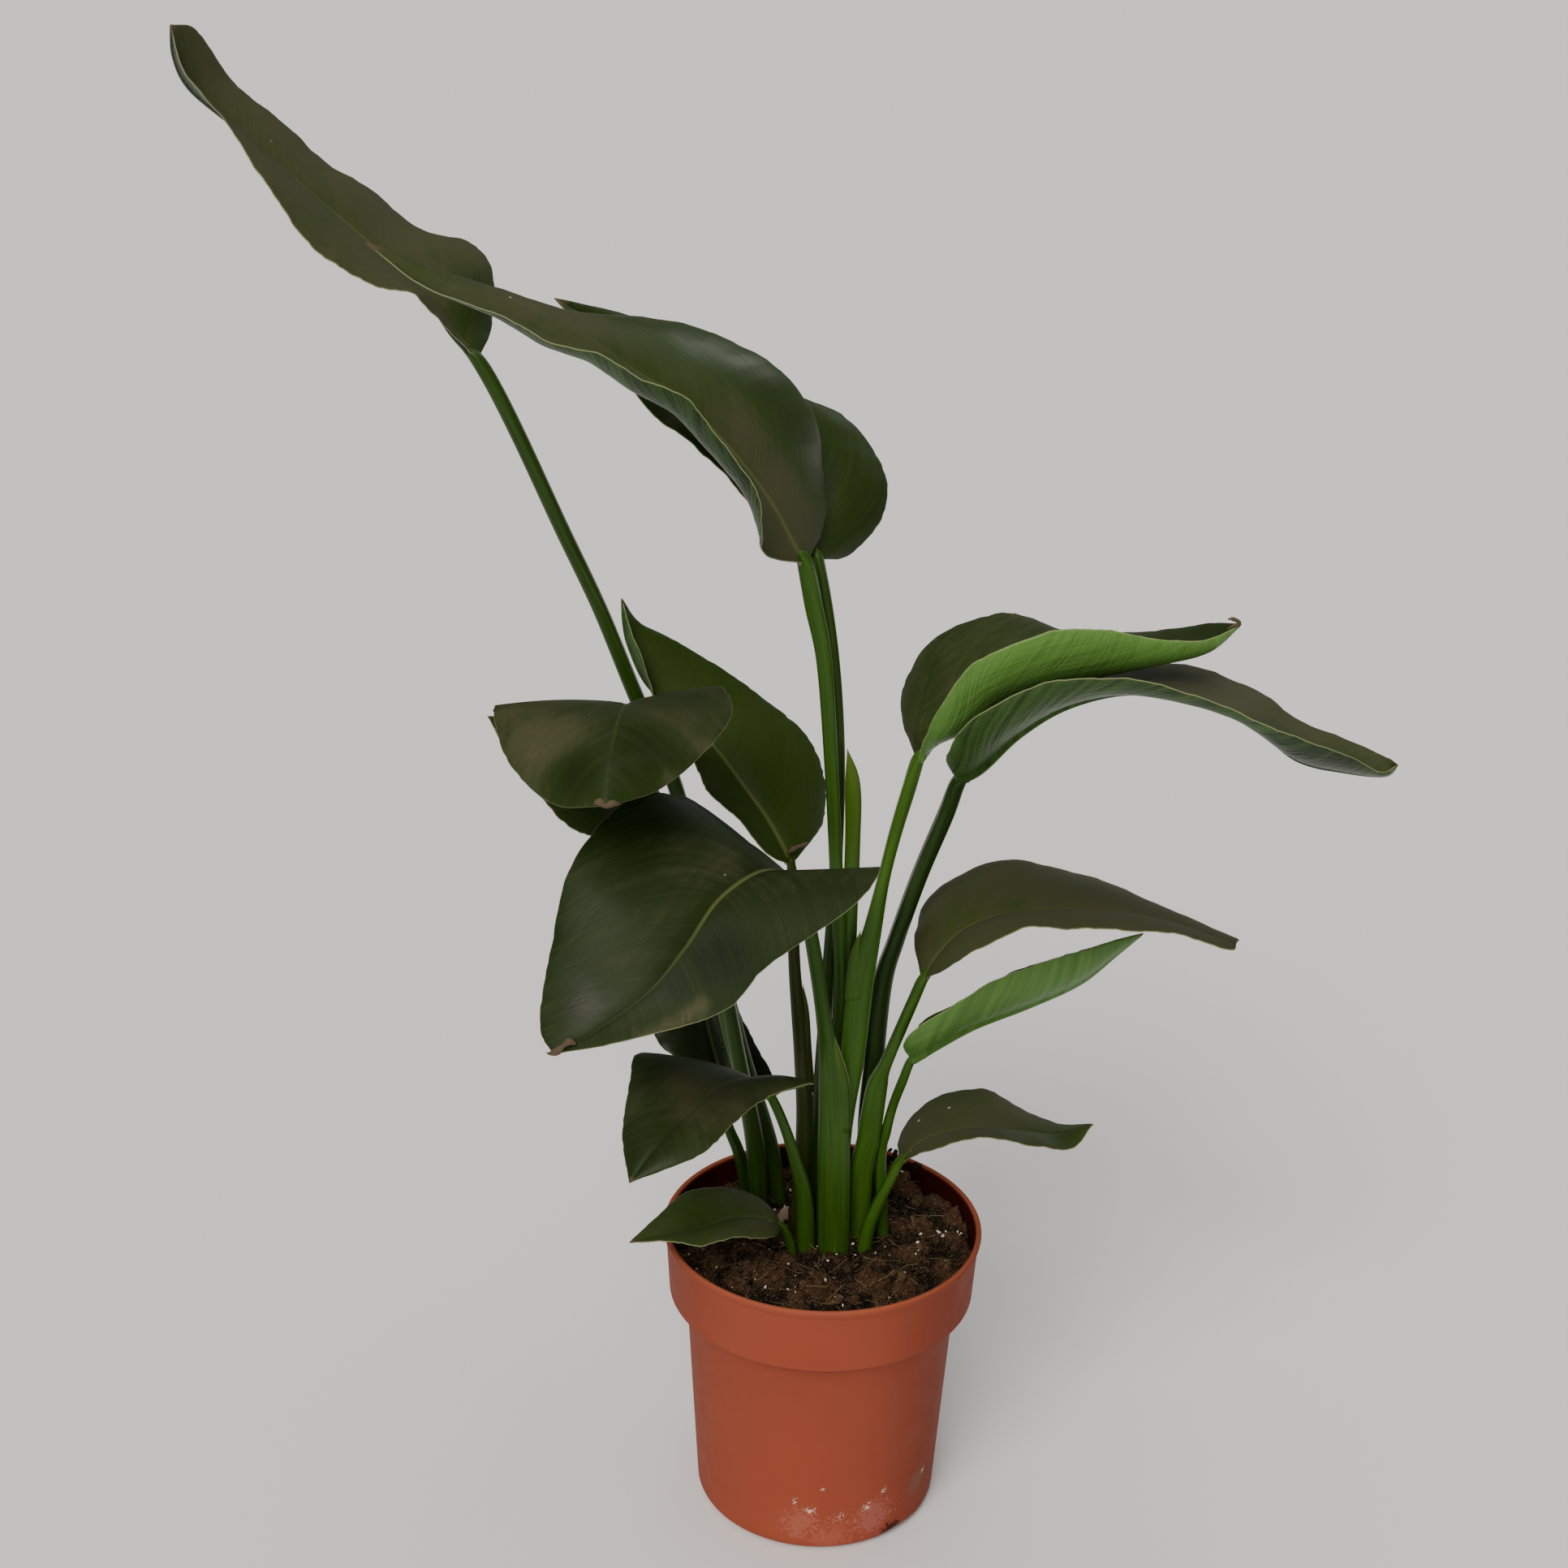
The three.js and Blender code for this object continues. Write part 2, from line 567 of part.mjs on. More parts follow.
// One ring of a stalk: an oval, pressed in on the side of the groove
function stalkSection(centre, tangent, groove, facing, size) {
  const side = new THREE.Vector3().crossVectors(tangent, groove);
  const start = Math.atan2(facing.y, facing.x);
  return Array.from({ length: STALK_SIDES }, (_, k) => {
    const angle = (k / STALK_SIDES) * 2 * Math.PI;
    const turn = Math.atan2(Math.sin(angle - start), Math.cos(angle - start));
    const reach = 1 - GROOVE_DEPTH * Math.exp(-((turn / GROOVE_WIDTH) ** 2));
    const across = (size.x / 2) * Math.cos(angle);
    const deep = (size.y / 2) * Math.sin(angle);
    const along = across * Math.cos(start) + deep * Math.sin(start);
    const beside = -across * Math.sin(start) + deep * Math.cos(start);
    return centre.clone().addScaledVector(groove, reach * along).addScaledVector(side, reach * beside);
  });
}

// A grooved oval swept up a curve. Grown by some clearance, it also cuts the soil.
function tube(points, grooveFacing, clearance = 0) {
  const path = smoothCurve(points.map(([x, y, z]) => new THREE.Vector3(x, y, z)));
  const sizes = smoothCurve(points.map((p) => new THREE.Vector3(p[3] + clearance, p[4] + clearance, 0)));
  const count = (points.length - 1) * STALK_RINGS_PER_POINT;
  const pointed = points[points.length - 1][3] === 0;
  const rings = [];
  for (let i = 0; i <= count; i++) {
    const t = i / count;
    const tangent = path.getTangent(t);
    const groove = grooveFacing(t).clone().projectOnPlane(tangent).normalize();
    rings.push(stalkSection(path.getPoint(t), tangent, groove, grooveFacing(0), sizes.getPoint(t)));
  }
  rings.unshift([centreOf(rings[0])]);
  const end = pointed ? rings.pop() : rings[rings.length - 1];
  rings.push([centreOf(end)]);
  return solidFromGeometry(skin(rings));
}

// The plain hole that a stalk stands in: the stalk's own form, grown, and a little deeper
function makeHole(points, facing) {
  const [x, y, z, width, depth] = points[0];
  const deeper = [[x, y, z - HOLE_CLEARANCE, width, depth], ...points.slice(1)];
  return tube(deeper, () => facing, HOLE_CLEARANCE);
}

// Blades: three curves, midrib and two margins, with each half swollen between them

function bladeGrid(leaf) {
  const [midrib, left, right] = [0, 1, 2].map((k) => {
    const points = [leaf.base, ...leaf.rows.map((row) => row[k]), leaf.tip];
    return smoothCurve(points.map((p) => new THREE.Vector3(...p)));
  });
  const count = (leaf.rows.length + 1) * ROWS_PER_STATION;
  return Array.from({ length: count + 1 }, (_, i) => {
    const t = i / count;
    const middle = midrib.getPoint(t);
    const tangent = midrib.getTangent(t);
    return COLUMNS.map((v) => {
      const half = (v < 0 ? left : right).getPoint(t).sub(middle);
      const share = Math.abs(v);
      const bow = v < 0 ? -leaf.bow[0] : leaf.bow[1];
      const swell = new THREE.Vector3().crossVectors(half, tangent).normalize();
      swell.multiplyScalar(bow * half.length() * 4 * share * (1 - share));
      return middle.clone().addScaledVector(half, share).add(swell);
    });
  });
}

// Upper normals of a grid of points, row by row
function gridNormals(grid) {
  return grid.map((row, i) => row.map((_, j) => {
    const before = grid[Math.max(i - 1, 0)][j];
    const after = grid[Math.min(i + 1, grid.length - 1)][j];
    const along = after.clone().sub(before);
    const wide = grid[Math.min(Math.max(i, 1), grid.length - 2)];
    const across = wide[Math.min(j + 1, row.length - 1)].clone().sub(wide[Math.max(j - 1, 0)]);
    return across.cross(along).normalize();
  }));
}

function makeBlade(grid, normals) {
  const last = grid.length - 1;
  const rings = grid.map((row, i) => {
    if (i === 0 || i === last) return [row[MIDDLE]];
    const upper = row.map((p, j) => p.clone().addScaledVector(normals[i][j], BLADE_THICKNESS / 2));
    const lower = row.map((p, j) => {
      const rib = j === MIDDLE ? RIB_DEPTH * (1 - i / last) : 0;
      return p.clone().addScaledVector(normals[i][j], -BLADE_THICKNESS / 2 - rib);
    });
    return [...lower.reverse(), ...upper];
  });
  return solidFromGeometry(skin(rings, COLUMNS.length));
}

// A leaf in one body: the stalk runs up to the blade and on under the start of its rib
function makeLeaf(leaf) {
  const grid = bladeGrid(leaf);
  const normals = gridNormals(grid);
  const start = normals[1][MIDDLE];
  const root = grid[1][MIDDLE].clone().addScaledVector(start, -JOIN_DEPTH);
  const sizes = leaf.stalk[leaf.stalk.length - 1].slice(3);
  const ends = [leaf.base, root.toArray()].map((place, k) => {
    return [...place, ...sizes.map((size) => JOIN_SIZES[k] * size)];
  });
  const points = [...leaf.stalk, ...ends];
  const facing = new THREE.Vector3(...leaf.inward, 0);
  const blendFrom = (leaf.stalk.length - 1) / (points.length - 1);
  const grooveFacing = (t) => facing.clone().lerp(start, Math.max((t - blendFrom) / (1 - blendFrom), 0));
  let solid = makeBlade(grid, normals).add(tube(points, grooveFacing));
  if (leaf.sheath) solid = solid.add(tube(leaf.sheath, () => facing));
  return { solid, hole: makeHole(points, facing) };
}

// Assembly

const group = new THREE.Group();

function addPart(name, solid, colour, roughness) {
  const material = new THREE.MeshStandardMaterial({ color: colour, roughness, metalness: 0 });
  const mesh = new THREE.Mesh(geometryFromSolid(solid), material);
  mesh.name = name;
  group.add(mesh);
}

const dryFacing = new THREE.Vector3(1, 0, 0);
let soil = makeSoil().subtract(makeHole(DRY_BASE, dryFacing));
for (const [name, leaf] of Object.entries(LEAVES)) {
  const { solid, hole } = makeLeaf(leaf);
  soil = soil.subtract(hole);
  addPart(`leaf_${name}`, solid, COLOURS[leaf.tone ?? 'dustyLeaf'], 0.4);
}
addPart('dry_leaf_base', tube(DRY_BASE, () => dryFacing), COLOURS.dryBase, 0.9);
addPart('soil', soil, COLOURS.soil, 0.95);
addPart('pot', makePot(), COLOURS.pot, 0.5);

export default group;
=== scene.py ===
# %% [markdown]
# # A potted bird of paradise
#
# This lesson dresses the plain solids of a young bird of paradise in its nursery pot. The solids
# are loaded first and never moved: they are the frame that every finer piece is fitted to. Each
# leaf, the pot and the soil is then built again with more points from the same sizes, and given a
# procedural finish. Everything is in metres here, while the plant's own sizes are written in
# millimetres, as a grower would measure them.

# %% Load the frame
import math

import bpy
import numpy as np
from mathutils import Matrix, Vector, noise


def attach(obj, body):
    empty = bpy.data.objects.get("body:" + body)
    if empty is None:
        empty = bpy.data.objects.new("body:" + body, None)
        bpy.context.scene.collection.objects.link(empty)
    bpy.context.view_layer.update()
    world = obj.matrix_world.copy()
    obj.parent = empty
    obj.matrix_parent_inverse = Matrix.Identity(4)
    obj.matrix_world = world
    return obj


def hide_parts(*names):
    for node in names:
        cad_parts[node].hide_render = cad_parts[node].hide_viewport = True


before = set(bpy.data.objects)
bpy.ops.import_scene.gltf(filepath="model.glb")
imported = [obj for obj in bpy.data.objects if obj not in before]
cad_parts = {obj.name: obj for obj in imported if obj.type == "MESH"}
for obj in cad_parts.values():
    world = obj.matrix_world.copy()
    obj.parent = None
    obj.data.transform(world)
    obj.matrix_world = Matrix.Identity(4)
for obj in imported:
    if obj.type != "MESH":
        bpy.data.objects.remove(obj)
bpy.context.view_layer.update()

# %% [markdown]
# ## Camera
#
# The picture was taken from a little above, with the plant filling the frame. A long lens a good
# metre away keeps the pot's sides nearly parallel. The camera is placed by what it aims at, how far
# away it is and how far it tips down, which is easier to reason about than a position and three
# angles. The last turn is the slight tilt of a camera held by hand.

# %% Camera
MM = 0.001
CAMERA_AIM = Vector((-26, 0, 416)) * MM
CAMERA_DISTANCE = 1208 * MM
CAMERA_PITCH = math.radians(22)
CAMERA_ROLL = math.radians(1.32)
SENSOR_WIDTH = 36
LENS = 55.9


def put_in_scene(name, data):
    """A new object, linked to the scene."""
    placed = bpy.data.objects.new(name, data)
    bpy.context.scene.collection.objects.link(placed)
    return placed


level_up = Vector((0, math.sin(CAMERA_PITCH), math.cos(CAMERA_PITCH)))
forward = Vector((0, math.cos(CAMERA_PITCH), -math.sin(CAMERA_PITCH)))
right = Vector((1, 0, 0)) * math.cos(CAMERA_ROLL) + level_up * math.sin(CAMERA_ROLL)
up = level_up * math.cos(CAMERA_ROLL) - Vector((1, 0, 0)) * math.sin(CAMERA_ROLL)

lens = bpy.data.cameras.new("long_lens")
lens.sensor_width = SENSOR_WIDTH
lens.lens = LENS
camera = put_in_scene("camera", lens)
turn = Matrix((right, up, -forward)).transposed().to_4x4()
camera.matrix_world = Matrix.Translation(CAMERA_AIM - forward * CAMERA_DISTANCE) @ turn
bpy.context.scene.camera = camera
print("camera at", [round(v, 3) for v in camera.location])

# %% [markdown]
# ## Nodes and colours
#
# Finishes are node trees, so one small function adds a node: a setting that is another node's
# output is linked, and any other value is typed in. Colours are given as hex values, as on a
# screen, which are sRGB, while a shader works in linear light, so a second function turns one into
# the other.

# %% Node and colour helpers
FACTOR, FIRST, SECOND, MIXED = 0, 6, 7, 2  # the sockets of a Mix node that mixes colours


def add_node(tree, kind, values=None, **settings):
    """Adds a node to a tree, with its settings, and its sockets linked or set."""
    node = tree.nodes.new(kind)
    for name, value in settings.items():
        setattr(node, name, value)
    for socket, value in (values or {}).items():
        if isinstance(value, bpy.types.NodeSocket):
            tree.links.new(value, node.inputs[socket])
        else:
            node.inputs[socket].default_value = value
    return node


def paint(hex_colour):
    """An sRGB hex colour as the linear colour that a shader takes."""
    channels = [int(hex_colour[i:i + 2], 16) / 255 for i in (1, 3, 5)]
    return [*(c / 12.92 if c <= 0.04045 else ((c + 0.055) / 1.055) ** 2.4 for c in channels), 1]


def new_finish(name):
    """A material with one Principled shader, and its tree."""
    material = bpy.data.materials.new(name)
    material.use_nodes = True
    tree = material.node_tree
    return material, tree, tree.nodes["Principled BSDF"]

# %% [markdown]
# ## Floor and light
#
# A plain pale floor that runs out of view stands for the white of a studio. Leaves this dark show
# every pale thing around them as a grey veil, so the room itself is kept dim and the light comes
# from four far lamps: the main one in front, a little to the left and above; a wide one overhead; a
# weak one low in front, which reaches under the leaves; and a small one low behind on the right,
# like a window, which draws a pale band of gloss along the tall arching leaf and down the stalks. A
# sun lamp lights the whole floor evenly, and a wide angle makes it as soft as a large studio lamp.

# %% Floor and light
FLOOR_WIDTH = 60
FLOOR_DROP = 0.0003  # just under the pot, so that the two never share a face

matt_floor_paint, tree, shader = new_finish("matt_floor_paint")
shader.inputs["Base Color"].default_value = paint("#f3f5fa")
shader.inputs["Roughness"].default_value = 1
shader.inputs["Specular IOR Level"].default_value = 0.1

bpy.ops.mesh.primitive_plane_add(size=FLOOR_WIDTH, location=(0, 0, -FLOOR_DROP))
floor = bpy.context.active_object
floor.name = "floor"
floor.data.materials.append(matt_floor_paint)

# Each lamp: where it shines from, how wide it is in degrees, its strength and its colour
LAMPS = {
    "main_lamp": ((-0.42, -1.1, 1.1), 32, 2.3, "#fff4e6"),
    "top_lamp": ((-0.1, 0.1, 1.6), 60, 1.1, "#fffaf0"),
    "front_lamp": ((0.3, -1.6, 0.35), 50, 0.6, "#fff4e6"),
    "window_lamp": ((0.4, 0.9, 0.4), 12, 0.13, "#eef4f0"),
}
for lamp_name, (place, angle, strength, tint) in LAMPS.items():
    lamp = bpy.data.lights.new(lamp_name, "SUN")
    lamp.angle = math.radians(angle)
    lamp.energy = strength
    lamp.color = paint(tint)[:3]
    holder = put_in_scene(lamp_name, lamp)
    holder.location = place
    holder.rotation_euler = (-Vector(place)).to_track_quat("-Z", "Y").to_euler()

room = bpy.data.worlds.new("dim_room")
room.use_nodes = True
background = room.node_tree.nodes["Background"]
background.inputs["Color"].default_value = paint("#ffffff")
background.inputs["Strength"].default_value = 0.16
bpy.context.scene.world = room
print("lamps:", ", ".join(LAMPS))

# %% [markdown]
# ## How a leaf is measured
#
# A bird of paradise leaf is one body: a long grooved stalk that runs on as a thick midrib under a
# broad, leathery blade. Three curves say most of a blade's shape, its midrib and its two margins,
# and a few chosen points say each curve. Modelling a blade by pushing a flat grid about by hand
# would also work, but with curves the fold and the twist of each leaf stay easy to change.

# %% The fifteen leaves
# Millimetres. inward: the way the stalk's groove faces. bow: how far each half of the blade swells.
# base and tip: the ends of the midrib. stalk and sheath: x, y, z, width and depth of each point. A
# row crosses the blade: x, y, z on the midrib, on the left margin and on the right margin.
LEAVES = {}
# The tallest, reaching up and left on a long bare stalk, seen from the front and below
LEAVES["tall_left"] = {
    "inward": (1, 0), "bow": (0.06, 0.06), "base": (-179, 50, 614), "tip": (-316.4, 48, 766.8),
    "stalk": [
        (-33, 36, 130, 12, 10), (-36, 36, 185, 12, 10), (-46, 37, 239, 9.5, 9),
        (-60, 38, 310, 9, 8.5), (-81, 40, 396, 9, 8), (-102, 42, 446, 9, 8),
        (-120, 44, 491, 8.5, 8), (-139, 46, 532, 8.5, 8), (-157, 48, 572, 8.5, 8),
        (-170, 49, 599, 8.5, 8),
    ],
    "rows": [
        (-191, 54, 627, -194, 36, 633, -175, 80, 626),
        (-202, 57, 642, -205, 28, 649, -178, 104, 647),
        (-217, 59, 655, -218, 22, 652, -190, 112, 660),
        (-231, 60, 667, -232, 19, 659, -215, 110, 666),
        (-246, 60, 680, -248, 18, 669, -238, 104, 687),
        (-262, 59, 694, -262, 20, 686, -255, 98, 697),
        (-278, 58, 708, -274, 24, 703, -268, 90, 712),
        (-293, 56, 722, -288, 34, 721, -283, 84, 726),
        (-310, 50, 738, -301, 32, 739, -298, 78, 741),
        (-316, 48, 752, -310, 36, 749, -309, 66, 763),
    ],
}
# Arches far to the left; its near half rolls up like a gutter and hides the midrib
LEAVES["arching_front"] = {
    "inward": (1, 0), "bow": (-0.18, 0.04), "base": (-18, 0, 530), "tip": (-214, -53, 687),
    "stalk": [
        (2, 15, 130, 12, 8), (3, 15, 208, 11, 8), (7, 15, 290, 9.5, 8), (2, 12, 365, 8, 8),
        (-2, 8, 421, 8, 7.5), (-7, 4, 478, 9, 7), (-13, 1, 508, 10, 7),
    ],
    "sheath": [
        (11, 15, 271, 9, 7), (10, 14, 328, 9, 7), (10, 12, 379, 9, 6.5), (9, 11, 412, 9, 5),
        (5, 11, 432, 0, 0),
    ],
    "rows": [
        (-25, -4, 544, -36, -26, 541, -11, 20, 538), (-33, -9, 560, -39, -42, 561, -9, 35, 550),
        (-45, -14, 578, -42, -52, 581, -11, 46, 569), (-60, -20, 597, -59, -62, 606, -17, 54, 593),
        (-77, -26, 615, -71, -70, 624, -37, 56, 614), (-96, -32, 628, -91, -74, 634, -64, 50, 629),
        (-116, -38, 643, -111, -76, 645, -95, 36, 639),
        (-137, -43, 653, -133, -75, 650, -125, 10, 645),
        (-158, -47, 663, -154, -70, 660, -151, -16, 658),
        (-186, -51, 674, -186, -62, 669, -182, -34, 671),
    ],
}
# Close behind it, with the right lobe in view and only the tip showing above
LEAVES["arching_back"] = {
    "inward": (1, 0), "bow": (0.1, 0.12), "base": (-12, 14, 528), "tip": (-143, 60, 643),
    "stalk": [
        (-4, 25, 130, 10, 8), (-3, 25, 212, 9, 8), (0, 24, 300, 8, 8), (2, 22, 360, 7.5, 7.5),
        (2, 20, 417, 7, 7), (-1, 18, 460, 7.5, 7), (-6, 16, 497, 8, 7),
    ],
    "rows": [
        (-14, 27, 534, -25, 10, 533, 4, 40, 523), (-20, 48, 548, -42, 20, 549, 21, 62, 538),
        (-35, 64, 566, -59, 24, 567, 20, 86, 557), (-58, 72, 584, -75, 30, 580, -1, 104, 578),
        (-85, 76, 603, -95, 38, 593, -39, 108, 591), (-113, 74, 622, -116, 48, 616, -99, 94, 625),
    ],
}
# Points up and left; towards the tip its left half folds in to a narrow strip
LEAVES["upper_mid"] = {
    "inward": (0.6, 0.8), "bow": (-0.06, 0.08), "base": (-21, 12, 367), "tip": (-109, 40, 498),
    "stalk": [
        (-14, 9, 130, 9, 7), (-11, 9, 211, 9, 7), (-13, 9, 255, 8.5, 7), (-18, 10, 306, 6.5, 6),
        (-20, 11, 343, 6, 6),
    ],
    "sheath": [
        (-9, 9, 235, 7, 6), (-11, 9, 264, 5.5, 4.5), (-12, 9, 286, 3.5, 3), (-14, 9, 302, 0, 0),
    ],
    "rows": [
        (-25, 14, 375, -34, 3, 377, -12, 26, 374), (-34, 20, 389, -50, 6, 395, -5, 40, 380),
        (-47, 26, 405, -65, 10, 408, -5, 52, 398), (-61, 31, 422, -73, 17, 422, -13, 60, 417),
        (-78, 36, 438, -87, 24, 436, -33, 62, 435), (-96, 38, 454, -93, 28, 454, -55, 60, 452),
        (-105, 39, 472, -100, 29, 475, -82, 54, 471), (-108, 40, 484, -104, 33, 484, -101, 48, 483),
    ],
}
# Arches towards the front, so that its outer half hangs down like a half moon
LEAVES["half_moon"] = {
    "inward": (0, 1), "bow": (0.03, 0.03), "base": (-104, 42, 415), "tip": (-106, -114, 449),
    "stalk": [
        (-29, 54, 130, 9, 8), (-32, 57, 177, 9, 8), (-48, 60, 226, 8, 7.5), (-61, 60, 280, 8, 7),
        (-75, 58, 336, 7.5, 7), (-93, 52, 385, 7.5, 7),
    ],
    "rows": [
        (-104, 8, 445, -73, 6, 444, -134, 12, 437), (-102, -28, 467, -58, -14, 471, -163, -18, 461),
        (-103, -66, 474, -51, -44, 469, -164, -40, 460),
        (-105, -94, 466, -63, -76, 461, -153, -70, 450),
        (-106, -107, 456, -83, -98, 451, -131, -98, 443),
    ],
}
# Mostly hidden behind the half moon, with the tip out to the left
LEAVES["behind_half_moon"] = {
    "inward": (0, 1), "bow": (0.1, 0.1), "base": (-92, 38, 380), "tip": (-172, -4, 450),
    "stalk": [
        (-22, 43, 130, 9, 7), (-28, 46, 179, 9, 7.5), (-43, 49, 232, 7.5, 7),
        (-57, 49, 286, 7, 6.5), (-74, 45, 340, 6.5, 6.5),
    ],
    "rows": [
        (-107, 24, 394, -113, 2, 385, -106, 40, 400),
        (-126, 12, 410, -130, -12, 394, -127, 36, 419),
        (-145, 6, 426, -150, -12, 416, -146, 28, 432),
        (-160, 0, 440, -163, -10, 435, -161, 16, 441),
    ],
}
# The broadest: rises at the midrib, then hangs down and left over the front
LEAVES["big_front"] = {
    "inward": (0, 1), "bow": (0, 0.05), "base": (-17, -2, 362), "tip": (-129, -134, 334),
    "stalk": [
        (6.5, -6, 130, 17, 9.5), (5, -6, 200, 17.5, 9.5), (3, -6, 244, 15, 9),
        (-2, -6, 284, 8.5, 8), (-9, -6, 328, 7.5, 7.5), (-14, -5, 351, 7, 7),
    ],
    "sheath": [(8, -6, 220, 11, 8), (7, -6, 249, 10, 6.5), (4, -7, 269, 6, 5), (1, -7, 284, 0, 0)],
    "rows": [
        (-27, -28, 381, 6, -22, 372, -49, -12, 393), (-39, -54, 391, 22, -44, 391, -76, -28, 420),
        (-56, -82, 389, 7, -80, 386, -102, -48, 424),
        (-70, -104, 375, -31, -106, 368, -125, -78, 404),
        (-86, -120, 360, -51, -128, 355, -133, -104, 370),
        (-109, -130, 345, -94, -137.5, 344, -136, -124, 344),
    ],
}
# Held upright behind the clump, in the shade of the broad leaf
LEAVES["low_back_left"] = {
    "inward": (0.6, -0.8), "bow": (0.1, 0.1), "base": (-56, 66, 196), "tip": (-83, 119.5, 294),
    "stalk": [(-38, 47, 130, 8, 6), (-45, 51, 170, 7, 6), (-52, 58, 186, 6, 6)],
    "rows": [
        (-59, 80, 211, -78, 72, 218, -28, 77, 202), (-66, 92, 233, -94, 80, 229, -39, 90, 223),
        (-72, 103, 256, -98, 94, 250, -51, 104, 242), (-78, 112, 277, -94, 106, 274, -60, 114, 269),
    ],
}
# A small copy of the broad leaf, with a narrow curled lobe on the right
LEAVES["low_front_left"] = {
    "inward": (0, 1), "bow": (0.08, 0.08), "base": (-29, -10, 245), "tip": (-96, -108, 251),
    "stalk": [
        (-8, -6, 130, 10.5, 8), (-10, -7, 181, 9, 7.5), (-16, -8, 208, 6.5, 6.5),
        (-22, -9, 228, 5.5, 5.5),
    ],
    "rows": [
        (-39, -30, 266, -7, -36, 268, -61, -14, 263), (-54, -54, 275, -31, -58, 271, -95, -36, 283),
        (-68, -76, 273, -47, -82, 269, -99, -62, 280),
        (-81, -92, 266, -63, -100, 262, -101, -84, 263),
    ],
}
# A small leaf that lies out over the rim of the pot
LEAVES["lowest_left"] = {
    "inward": (1, 0), "bow": (0.1, 0.1), "base": (-21, -13, 168), "tip": (-100, -54, 183),
    "stalk": [(-17, -12, 130, 6, 5), (-16, -12, 154, 6, 5)],
    "rows": [
        (-28, -16, 175, -27, -34, 175, -32, 2, 175), (-45, -24, 181, -45, -46, 182, -51, -2, 185),
        (-62, -34, 181, -62, -54, 182, -71, -14, 190),
        (-78, -44, 182, -78, -56, 185, -85, -30, 186),
    ],
}
# Folded along the midrib, so that the near half shows its bright underside
LEAVES["folded_right"] = {
    "inward": (-1, 0), "bow": (0.08, -0.24), "base": (40, 8, 427), "tip": (191, -10, 508),
    "stalk": [
        (5, 5.5, 130, 12, 8), (8, 5, 214, 12, 8), (12, 5, 262, 15, 8), (15, 5, 305, 15.5, 8),
        (20, 5, 333, 11, 8), (25, 6, 362, 7.5, 7.5), (30, 7, 387, 7.5, 7.5), (36, 7, 412, 8, 7.5),
    ],
    "sheath": [(12, 4, 294, 12, 8), (12, 4, 313, 9, 6.5), (13, 4, 325, 5, 4), (15, 4, 335, 0, 0)],
    "rows": [
        (47, 4, 440, 34, 24, 437, 43, -16, 451), (61, 0, 448, 33, 42, 452, 49, -26, 471),
        (79, -4, 465, 47, 52, 475, 64, -32, 494), (102, -8, 475, 82, 52, 491, 94, -34, 509),
        (129, -10, 482, 113, 44, 485, 118, -34, 512), (155, -12, 489, 149, 28, 490, 143, -30, 507),
        (176, -12, 496, 177, 8, 502, 171, -24, 504),
    ],
}
# Arches far to the right, keel down, and ends in a hanging lobe
LEAVES["arched_right"] = {
    "inward": (-1, 0), "bow": (0, -0.1), "base": (59, -14, 425), "tip": (262, -54, 455),
    "stalk": [
        (24, 18, 130, 11, 9), (22, 18, 207, 12, 9), (24, 17, 251, 12, 9), (27, 15, 299, 11.5, 9),
        (33, 12, 326, 10, 9), (43, 4, 366, 9.5, 9), (54, -6, 404, 9.5, 9),
    ],
    "rows": [
        (70, -18, 435, 68, 12, 440, 51, -38, 448), (86, -24, 455, 91, 34, 452, 60, -58, 473),
        (107, -30, 472, 118, 42, 458, 86, -68, 494), (134, -36, 482, 149, 36, 471, 117, -72, 501),
        (162, -41, 481, 178, 26, 473, 148, -74, 498), (190, -45, 474, 205, 12, 467, 179, -74, 487),
        (215, -49, 455, 227, -6, 457, 208, -74, 475), (239, -52, 450, 251, -28, 454, 232, -70, 466),
        (257, -53, 449, 261, -42, 453, 252, -62, 454),
    ],
}
# Nearly level, with the upper face in view and a blunt tip
LEAVES["mid_right"] = {
    "inward": (-1, 0), "bow": (0.05, 0.04), "base": (46, -14, 316), "tip": (196, -50, 359),
    "stalk": [
        (20, 6, 130, 13, 8), (19, 5, 189, 14, 8), (22, 4, 212, 14, 8), (24, 2, 233, 13.5, 8),
        (26, 0, 249, 12, 7.5), (30, -3, 263, 7.5, 7), (42, -11, 303, 6.5, 6.5),
    ],
    "rows": [
        (53, -18, 333, 43, 10, 333, 59, -40, 338), (66, -24, 351, 53, 28, 346, 72, -62, 359),
        (87, -31, 363, 83, 36, 361, 91, -72, 374), (112, -37, 368, 115, 32, 360, 112, -76, 376),
        (139, -42, 370, 144, 20, 356, 139, -74, 375), (167, -46, 366, 170, -6, 354, 167, -66, 369),
        (191, -48, 358, 197, -34, 354, 191, -60, 359),
    ],
}
# The youngest, still folded to a spear that shows only its underside
LEAVES["spear_right"] = {
    "inward": (-1, 0), "bow": (-0.1, -0.16), "base": (43, -4, 265), "tip": (155, -21, 349),
    "stalk": [
        (34, 8, 130, 8, 6.5), (30, 9, 196, 6.5, 6), (32, 6, 217, 6, 6), (35, 5, 233, 5.5, 5.5),
        (39, 0, 250, 5.5, 5.5),
    ],
    "rows": [
        (54, -7, 275, 47, 8, 280, 39, -18, 285), (74, -11, 290, 70, 14, 291, 64, -26, 311),
        (100, -15, 304, 96, 14, 309, 88, -30, 329), (125, -18, 319, 119, 8, 321, 113, -30, 339),
        (142, -20, 336, 140, -4, 335, 137, -26, 346),
    ],
}
